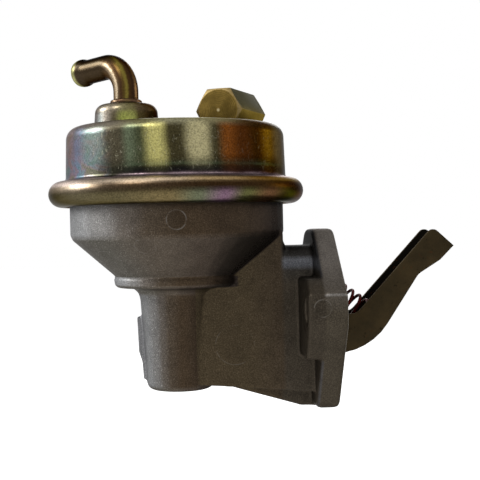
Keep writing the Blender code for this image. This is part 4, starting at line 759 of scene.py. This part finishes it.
def shapeFlange(mesh):
    form = castForm
    grown = form["sheet"] * form["sheetGrowth"]
    radius = form["neckRadius"]
    blendStart, blendWidth = form["neckBlend"]
    for vertex in mesh.vertices:
        x, y, z = vertex.co

        # the rib hangs lower towards the flange, and the flange's foot is worn a little short
        if abs(y) < form["ribHalf"] and form["ribStart"] < x < form["ribEnd"] and z < form["ribTop"]:
            along = (x - form["ribStart"]) / (form["ribEnd"] - form["ribStart"])
            drop = form["ribDrop"] * along * min(1.0, (form["ribTop"] - z) / form["ribDepth"])
            vertex.co.z = max(z - drop, min(z, form["lowest"]))
        elif x > form["footStart"] and z < form["footLevel"]:
            vertex.co.z = form["footLevel"] + (z - form["footLevel"]) * form["footShare"]

        # the flange is thicker than in the solid
        if x > -form["sheet"]:
            vertex.co.x = x * form["sheetGrowth"]
        elif x > -form["earBack"]:
            share = (-x - form["sheet"]) / (form["earBack"] - form["sheet"])
            vertex.co.x = -grown - share * (form["earBack"] - grown)

        # the neck's upper edges are fully round
        if not form["neckStart"] < x < form["neckEnd"]:
            continue
        half = form["halfWidth"] + form["flare"] * (x - pumpAxis.x)
        out = (abs(y) - (half - radius)) / radius
        rise = (z - (form["neckTop"] - radius)) / radius
        far = max(out, rise)
        if min(out, rise) <= 0 or far > form["neckReach"]:
            continue
        share = min(1.0, max(0.0, (far - blendStart) / blendWidth))
        inside = min(x - form["neckStart"], form["neckEnd"] - x)
        share *= min(1.0, inside / form["neckFade"])
        pull = 1 + share * (far / math.hypot(out, rise) - 1)
        vertex.co.y = math.copysign(half - radius + out * pull * radius, y)
        vertex.co.z = form["neckTop"] - radius + rise * pull * radius


def makeCasting():
    mesh = settled("castBody", nodeMesh("body_casting", 0), [
        ("REMESH", {"mode": "VOXEL", "voxel_size": castForm["voxel"], "adaptivity": 0.0})])
    shapeFlange(mesh)
    mesh = settled("castBody", mesh, [("SMOOTH", {"factor": 0.5, "iterations": castForm["smoothing"]})])
    triangles = sum(len(polygon.vertices) - 2 for polygon in mesh.polygons)
    if triangles > castForm["faceLimit"]:
        mesh = settled("castBody", mesh, [("DECIMATE", {"ratio": castForm["faceLimit"] / triangles})])
    mesh.shade_smooth()
    addPiece("castBody", mesh, [finish["casting"]], "pump", "body_casting")
    print("casting:", triangles, "triangles before thinning,", len(mesh.polygons), "faces after")


# Cover: the pressed steel shell with its rolled rim and hose boss

coverForm = {
    "steps": 200, "shadeAngle": 40, "sheet": 0.0012,
    "cupRadius": 0.0409, "cupFoot": 0.0413, "cupCorner": 0.0047, "wallFoot": 0.004, "wallDraft": 0.0001,
    "rimTop": 0.07655, "rimFoot": 0.0670, "rimRadius": 0.04786, "crease": 0.0014,
    "lip": 0.0006, "lipRound": 0.0004,
    "bossSteps": 96, "bossRadius": 0.0118, "bossTop": 0.10545, "bossCorner": 0.0036,
    "bossFoot": 0.0015, "bossDraft": 0.0003,
    "nippleHole": 0.0050, "stubHole": 0.0033, "stubPlace": Vector((-0.0385, 0.0003, 0)),
    "overlap": 0.002, "holeDepth": 0.004,  # of the forms that cut the holes
}


def holeCutter(name, radius, level, axis, steps):
    top = level + coverForm["overlap"]
    foot = level - coverForm["holeDepth"]
    return spun(name, [(0, top), (radius, top), (radius, foot), (0, foot)], axis, steps)


def makeCover():
    form = coverForm
    sheet = form["sheet"]
    rimTop, rimFoot = form["rimTop"], form["rimFoot"]
    roll = (rimTop - rimFoot) / 2
    rollCentre = (form["rimRadius"] - roll, rimFoot + roll)
    corner = (form["cupRadius"] - form["cupCorner"], coverTop - form["cupCorner"])
    crease = form["crease"]
    foot = form["cupFoot"]
    lip = foot + form["lip"]
    outside = [(0.0, coverTop), (corner[0] * 0.5, coverTop), *arc(corner, form["cupCorner"], 90, 0, 12)]
    outside += [(foot - form["wallDraft"], rimTop + crease + form["wallFoot"])]
    outside += [*arc((foot + crease, rimTop + crease), crease, 180, 270, 6)]
    outside += [*arc(rollCentre, roll, 90, -90, 28)]
    outside += [(lip + form["lipRound"], rimFoot), (lip, rimFoot + form["lipRound"])]
    inner = foot - sheet
    inside = [(lip, rimFoot + sheet), *arc(rollCentre, roll - sheet, -90, 90, 12)]
    inside += [(inner + crease, rimTop - sheet), (inner, rimTop + crease - sheet)]
    inside += [*arc(corner, form["cupCorner"] - sheet, 0, 90, 6), (0.0, coverTop - sheet)]
    shell = spun("cupShell", outside + inside, pumpAxis, form["steps"])

    # the boss is drawn up out of the top, with the nipple's hole in it and the outlet's hole beside it
    bossTop, bossRadius = form["bossTop"], form["bossRadius"]
    bossCorner = (bossRadius - form["bossCorner"], bossTop - form["bossCorner"])
    swell = form["bossFoot"]
    reach = bossRadius + form["bossDraft"] + swell
    bossOut = spun("bossOut", [
        (0, bossTop), *arc(bossCorner, form["bossCorner"], 90, 0, 10),
        *arc((reach, coverTop + swell), swell, 180, 265, 7),
        (reach, coverTop - sheet / 2), (0, coverTop - sheet / 2)], bossAxis, form["bossSteps"])
    under = coverTop - sheet - form["overlap"]
    bossIn = spun("bossIn", [
        (0, bossTop - sheet), *arc(bossCorner, form["bossCorner"] - sheet, 90, 0, 6),
        (bossRadius - sheet, under), (0, under)], bossAxis, form["bossSteps"])
    cutters = [
        (bossOut, "UNION"), (bossIn, "DIFFERENCE"),
        (holeCutter("nippleHole", form["nippleHole"], bossTop, bossAxis, 64), "DIFFERENCE"),
        (holeCutter("stubHole", form["stubHole"], coverTop, form["stubPlace"], 48), "DIFFERENCE")]
    tools = [addObject(mesh.name, mesh) for mesh, _ in cutters]
    mesh = settled("coverShell", shell, [
        ("BOOLEAN", {"operation": operation, "solver": "EXACT", "object": tool})
        for tool, (_, operation) in zip(tools, cutters)])
    for tool in tools:
        bpy.data.objects.remove(tool)
    softShade(mesh, form["shadeAngle"])
    addPiece("coverShell", mesh, [finish["cover"]], "pump", "top_cover")
    print("cover:", len(mesh.polygons), "faces")


# Hose nipple

nippleForm = {
    "tube": 0.0047, "bore": 0.0036, "bend": 0.0106, "rise": 0.0153, "leg": 0.0262, "below": 0.0032,
    "azimuth": 133.0, "droop": 2.5, "bead": 0.0054, "beadLength": 0.0044,
    "collar": 0.0060, "collarHeight": 0.0014, "collarGap": 0.0003,
    "sides": 48, "boreSides": 32, "uprightSteps": 8, "bendSteps": 24, "beadSteps": 12, "lipSteps": 4,
    "shadeAngle": 50,
}


def makeNipple():
    form = nippleForm
    tube = form["tube"]
    bend = form["bend"]
    bossTop = coverForm["bossTop"]
    footLevel = bossTop - form["below"]
    turn = math.radians(form["azimuth"])
    out = Vector((math.cos(turn), math.sin(turn), 0))
    base = Vector((bossAxis.x, 0, footLevel))
    upright = bossTop + form["rise"] - footLevel - bend
    droop = math.radians(form["droop"])
    heading = out * math.cos(droop) - Vector((0, 0, math.sin(droop)))

    # the path of the tube's middle
    steps = form["uprightSteps"]
    path = [base + Vector((0, 0, upright * step / steps)) for step in range(steps + 1)]
    bendStart = path[-1]
    steps = form["bendSteps"]
    for step in range(1, steps + 1):
        a = (math.pi / 2 + droop) * step / steps
        path.append(bendStart + out * bend * (1 - math.cos(a)) + Vector((0, 0, bend * math.sin(a))))
    bendEnd = path[-1]
    beadStart = form["leg"] - bend - form["beadLength"]
    path += [bendEnd + heading * beadStart * run for run in (0.3, 0.6, 0.85)]
    legEnd = path[-1] + heading * beadStart * 0.15
    radii = [tube] * len(path)

    # the upset collar sits on the boss, in place of three points of the upright stretch
    collarAt = bossTop + form["collarGap"] - footLevel
    ring = form["collarHeight"] / 2
    wide = form["collar"]
    collar = [
        (-0.0002, tube), (0.00005, wide - 0.0003), (0.3 * ring, wide - 0.00005), (ring, wide),
        (1.7 * ring, wide - 0.0003), (2 * ring, wide - 0.0008), (2.2 * ring, tube + 0.0001)]
    path[1:4] = [base + Vector((0, 0, collarAt + rise)) for rise, _ in collar]
    radii[1:4] = [radius for _, radius in collar]
    boreWay = path[10:]  # from well above the collar

    # the bead that holds the hose, and the mouth
    steps = form["beadSteps"]
    for step in range(steps + 1):
        share = step / steps
        swell = max(0.0, math.sin(math.pi * min(1.0, 0.04 + 0.80 * share))) ** 0.9
        path.append(legEnd + heading * form["beadLength"] * share)
        radii.append(tube + (form["bead"] - tube) * swell)
    mouth = path[-1]
    lip = radii[-1]
    steps = form["lipSteps"]
    for step in range(1, steps + 1):
        path.append(mouth + heading * 0.00002 * step)
        radii.append(lip - (lip - form["bore"]) * math.sin(math.pi / 2 * step / steps))
    mesh = sweep("hoseNipple", path, radii, form["sides"], side=out, ringMap=nippleFinish["map"])

    # the bore follows the same path
    boreWay = [base - Vector((0, 0, 0.001)), *boreWay, mouth + heading * 0.001]
    bore = sweep("nippleBore", boreWay, form["bore"] - 0.00002, form["boreSides"], side=out)
    bore = addObject("nippleBore", bore)
    mesh = settled("hoseNipple", mesh, [
        ("BOOLEAN", {"operation": "DIFFERENCE", "solver": "EXACT", "object": bore})])
    bpy.data.objects.remove(bore)
    softShade(mesh, form["shadeAngle"])
    addPiece("hoseNipple", mesh, [finish["nipple"]], "pump", "inlet_nipple")
    print("nipple:", len(mesh.polygons), "faces")


# Outlet fitting and rocker arm: the solids' own forms with softened edges

fittingForm = {"edge": 0.00022, "bevelAngle": 28, "shadeAngle": 32}


def softEdged(name, node, form):
    mesh = settled(name, nodeMesh(node), [("BEVEL", {
        "width": form["edge"], "segments": 2, "limit_method": "ANGLE",
        "angle_limit": math.radians(form["bevelAngle"])})])
    return softShade(mesh, form["shadeAngle"])


def makeFitting():
    mesh = softEdged("hexFitting", "outlet_fitting", fittingForm)
    addPiece("hexFitting", mesh, [finish["fitting"]], "pump", "outlet_fitting")
    print("fitting:", len(mesh.polygons), "faces")


armForm = {
    "edge": 0.00022, "bevelAngle": 30, "shadeAngle": 34,
    "cheek": 0.0062, "inward": 0.5, "edgeRise": 0.15, "edgeLean": 0.6,
}


def makeArm():
    form = armForm
    mesh = softEdged("armChannel", "rocker_arm", form)
    materials = [finish["arm"], finish["shearedAndLit"], finish["inside"]]
    addPiece("armChannel", mesh, materials, "arm", "rocker_arm")
    for polygon in mesh.polygons:
        facing, centre = polygon.normal, polygon.center
        # faces that look into the channel get a near-black painted shade
        inward = facing.y * math.copysign(1, centre.y) < -form["inward"]
        # edges that face up get the lighter sheared tone, partly bare sheared steel and partly a painted
        # highlight
        upright = facing.z > form["edgeRise"] and abs(facing.y) < form["edgeLean"]
        litUpperEdge = upright and abs(centre.y) > form["cheek"]
        polygon.material_index = 2 if inward else 1 if litUpperEdge else 0
    print("arm:", len(mesh.polygons), "faces")


# Springs

valveCoil = {
    "keep": 0.59, "radius": 0.0030, "wire": 0.00018, "turns": 4, "finish": "wire", "slot": "spring_steel"}
springForms = {
    "armReturnCoil": {
        "node": "arm_return_spring", "joint": "arm_pivot", "keep": 0.84,
        "radius": 0.0040, "wire": 0.0006, "turns": 12, "length": 0.0378,
        "start": Vector((-0.01284, 0, 0.04338)), "way": Vector((0.8141, 0, -0.5807)),
        "finish": "redWire", "slot": "red_spring"},
    "diaphragmCoil": {
        "node": "diaphragm_spring", "joint": "rod_slide", "keep": 0.783,
        "radius": 0.0145, "wire": 0.0011, "turns": 6.5, "way": Vector((0, 0, 1)),
        "finish": "wire", "slot": "spring_steel"},
    "inletValveCoil": {
        **valveCoil, "node": "inlet_valve_spring", "joint": "inlet_valve_lift", "way": Vector((0, 0, 1))},
    "outletValveCoil": {
        **valveCoil, "node": "outlet_valve_spring", "joint": "outlet_valve_lift",
        "way": Vector((0, 0, -1))},
}
coilDetail = {
    "sides": 12, "stepsPerTurn": 28, "shadeAngle": 60,
    "endRise": 2.3,  # of a closed turn, in wire radii
}


def makeSprings():
    for name, form in springForms.items():
        low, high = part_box(form["node"])
        way = form["way"].normalized()
        length = form.get("length", high.z - low.z)
        middle = (low + high) / 2
        start = form.get("start", Vector((middle.x, middle.y, low.z if way.z > 0 else high.z)))
        turn = way.to_track_quat("Z", "Y")
        radius, wire, turns = form["radius"], form["wire"], form["turns"]
        endRise = coilDetail["endRise"] * wire
        count = int(turns * coilDetail["stepsPerTurn"])
        points = []
        for step in range(count + 1):
            done = turns * step / count
            first = min(done, 1.0)
            last = max(0.0, done - (turns - 1.0))
            share = (done - first - last) / (turns - 2.0)
            level = wire + endRise * (first + last) + (length - 2 * wire - 2 * endRise) * share
            angle = 2 * math.pi * done
            offset = Vector((radius * math.cos(angle), radius * math.sin(angle), level))
            points.append(start + turn @ offset)
        mesh = softShade(sweep(name, points, wire, coilDetail["sides"]), coilDetail["shadeAngle"])
        piece = addPiece(name, mesh, [finish[form["finish"]]], "pump", form["node"])
        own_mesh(piece)
    print("springs:", len(springForms))


# Diaphragm

diaphragmForm = {"keep": 0.0333, "shadeAngle": 40}


def makeDiaphragm():
    form = diaphragmForm
    mesh = softShade(nodeMesh("diaphragm", 0), form["shadeAngle"])
    piece = addPiece("diaphragmSheet", mesh, [finish["cloth"]], "pump", "diaphragm")
    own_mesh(piece)
    print("diaphragm made")


# Inner pieces keep the solids' own form

innerFinish = {
    "steel": [
        "outlet_stub", "outlet_chamber_cup", "valve_plate", "upper_diaphragm_plate",
        "lower_diaphragm_plate", "pull_rod", "seal_retainer", "pivot_pin", "thrust_washer_near",
        "thrust_washer_far", "link_spacer_near", "link_spacer_far"],
    "brass": ["inlet_valve_cage", "outlet_valve_cage"],
    "rubber": ["cover_seal", "inlet_valve_disc", "outlet_valve_disc", "rod_seal"],
    "fibre": ["rod_foot_washer"],
    "arm": ["rocker_link"],
}


def dressInnerPieces():
    for key, nodes in innerFinish.items():
        for node in nodes:
            cadNodes[node].data.materials.clear()
            cadNodes[node].data.materials.append(finish[key])
    print("inner pieces dressed:", sum(len(nodes) for nodes in innerFinish.values()))


# Studio

studio = {
    "floorLevel": -0.09, "floorReach": 4.0, "floorColor": "d8d8d8", "worldStrength": 0.50,
    "floorGlow": [(0.0, 0.42), (0.10, 0.50), (0.30, 0.62), (1.0, 0.70)],  # by the share of the reach
    "lamps": {  # place, size, power, colour
        "windowLamp": (Vector((-0.94, 0.12, 0.55)), 0.42, 8.5, (0.97, 0.99, 1.0)),
        "keyLamp": (Vector((-0.55, -0.40, 0.85)), 0.30, 4.0, (1.0, 0.99, 0.97)),
        "sideLamp": (Vector((0.85, 0.25, 0.30)), 0.30, 1.6, (1.0, 0.98, 0.95)),
        "backLamp": (Vector((0.10, 0.85, 0.50)), 0.50, 2.5, (1.0, 1.0, 1.0)),
    },
    "lampAim": Vector((-0.045, 0, 0.055)),
}


def whiteForViewer(tree):
    path = addNode(tree, "LightPath")
    seen = maths(tree, "MAXIMUM", path.outputs["Is Camera Ray"], path.outputs["Is Glossy Ray"])
    return maths(tree, "MAXIMUM", seen, path.outputs["Is Transmission Ray"])


def makeFloor():
    reach = studio["floorReach"]
    form = bmesh.new()
    bmesh.ops.create_grid(form, x_segments=8, y_segments=8, size=reach,
                          matrix=Matrix.Translation((0, 0, studio["floorLevel"])))
    floor = addObject("paleFloor", toMesh(form, "paleFloor"))
    material, tree, place = newMaterial("paleFloor", 0.0, 0.9, 0.0)
    shader = tree.nodes["Principled BSDF"]
    shader.inputs["Base Color"].default_value = linear(studio["floorColor"])
    far = between(tree, awayFrom(tree, place, pumpAxis), 0.0, reach)
    strength = times(tree, whiteForViewer(tree), ramp(tree, far, studio["floorGlow"]))
    glow = addNode(tree, "Emission", {"Color": (1, 1, 1, 1), "Strength": strength})
    both = addNode(tree, "AddShader", {0: shader.outputs[0], 1: glow.outputs[0]})
    tree.links.new(both.outputs[0], tree.nodes["Material Output"].inputs["Surface"])
    floor.data.materials.append(material)


def makeWorld():
    world = bpy.data.worlds.new("studioWorld")
    world.use_nodes = True
    bpy.context.scene.world = world
    tree = world.node_tree
    background = tree.nodes["Background"]
    background.inputs["Color"].default_value = (1, 1, 1, 1)
    strength = spread(tree, whiteForViewer(tree), studio["worldStrength"], 1.0)
    tree.links.new(strength, background.inputs["Strength"])


def makeLamps():
    for name, (place, size, power, color) in studio["lamps"].items():
        light = bpy.data.lights.new(name, "AREA")
        light.shape = "DISK"
        light.size = size
        light.energy = power
        light.color = color
        lamp = addObject(name, light)
        lamp.location = place
        lamp.rotation_euler = (studio["lampAim"] - place).to_track_quat("-Z", "Y").to_euler()
    print("studio lit with", len(studio["lamps"]), "lamps")


viewer = {
    "place": Vector((-0.0599, -0.4063, 0.05764)), "turn": 3.6, "down": 0.596, "roll": 1.285,
    "lens": 80.30, "nearest": 0.01,
}


def makeCamera():
    turn, down, roll = (math.radians(viewer[key]) for key in ("turn", "down", "roll"))
    level = Vector((math.sin(turn), math.cos(turn), 0))
    ahead = level * math.cos(down) - Vector((0, 0, math.sin(down)))
    right = Vector((math.cos(turn), -math.sin(turn), 0))
    up = right.cross(ahead)
    rolledRight = right * math.cos(roll) - up * math.sin(roll)
    rolledUp = up * math.cos(roll) + right * math.sin(roll)
    data = bpy.data.cameras.new("viewer")
    data.lens = viewer["lens"]
    data.clip_start = viewer["nearest"]
    camera = addObject("viewer", data)
    facing = Matrix((rolledRight, rolledUp, -ahead)).transposed().to_4x4()
    camera.matrix_world = Matrix.Translation(viewer["place"]) @ facing
    bpy.context.scene.camera = camera
    print("camera placed")


makeCasting()
makeCover()
makeNipple()
makeFitting()
makeArm()
makeSprings()
makeDiaphragm()
dressInnerPieces()
makeFloor()
makeWorld()
makeLamps()
makeCamera()

bpy.context.scene.view_settings.view_transform = "Standard"
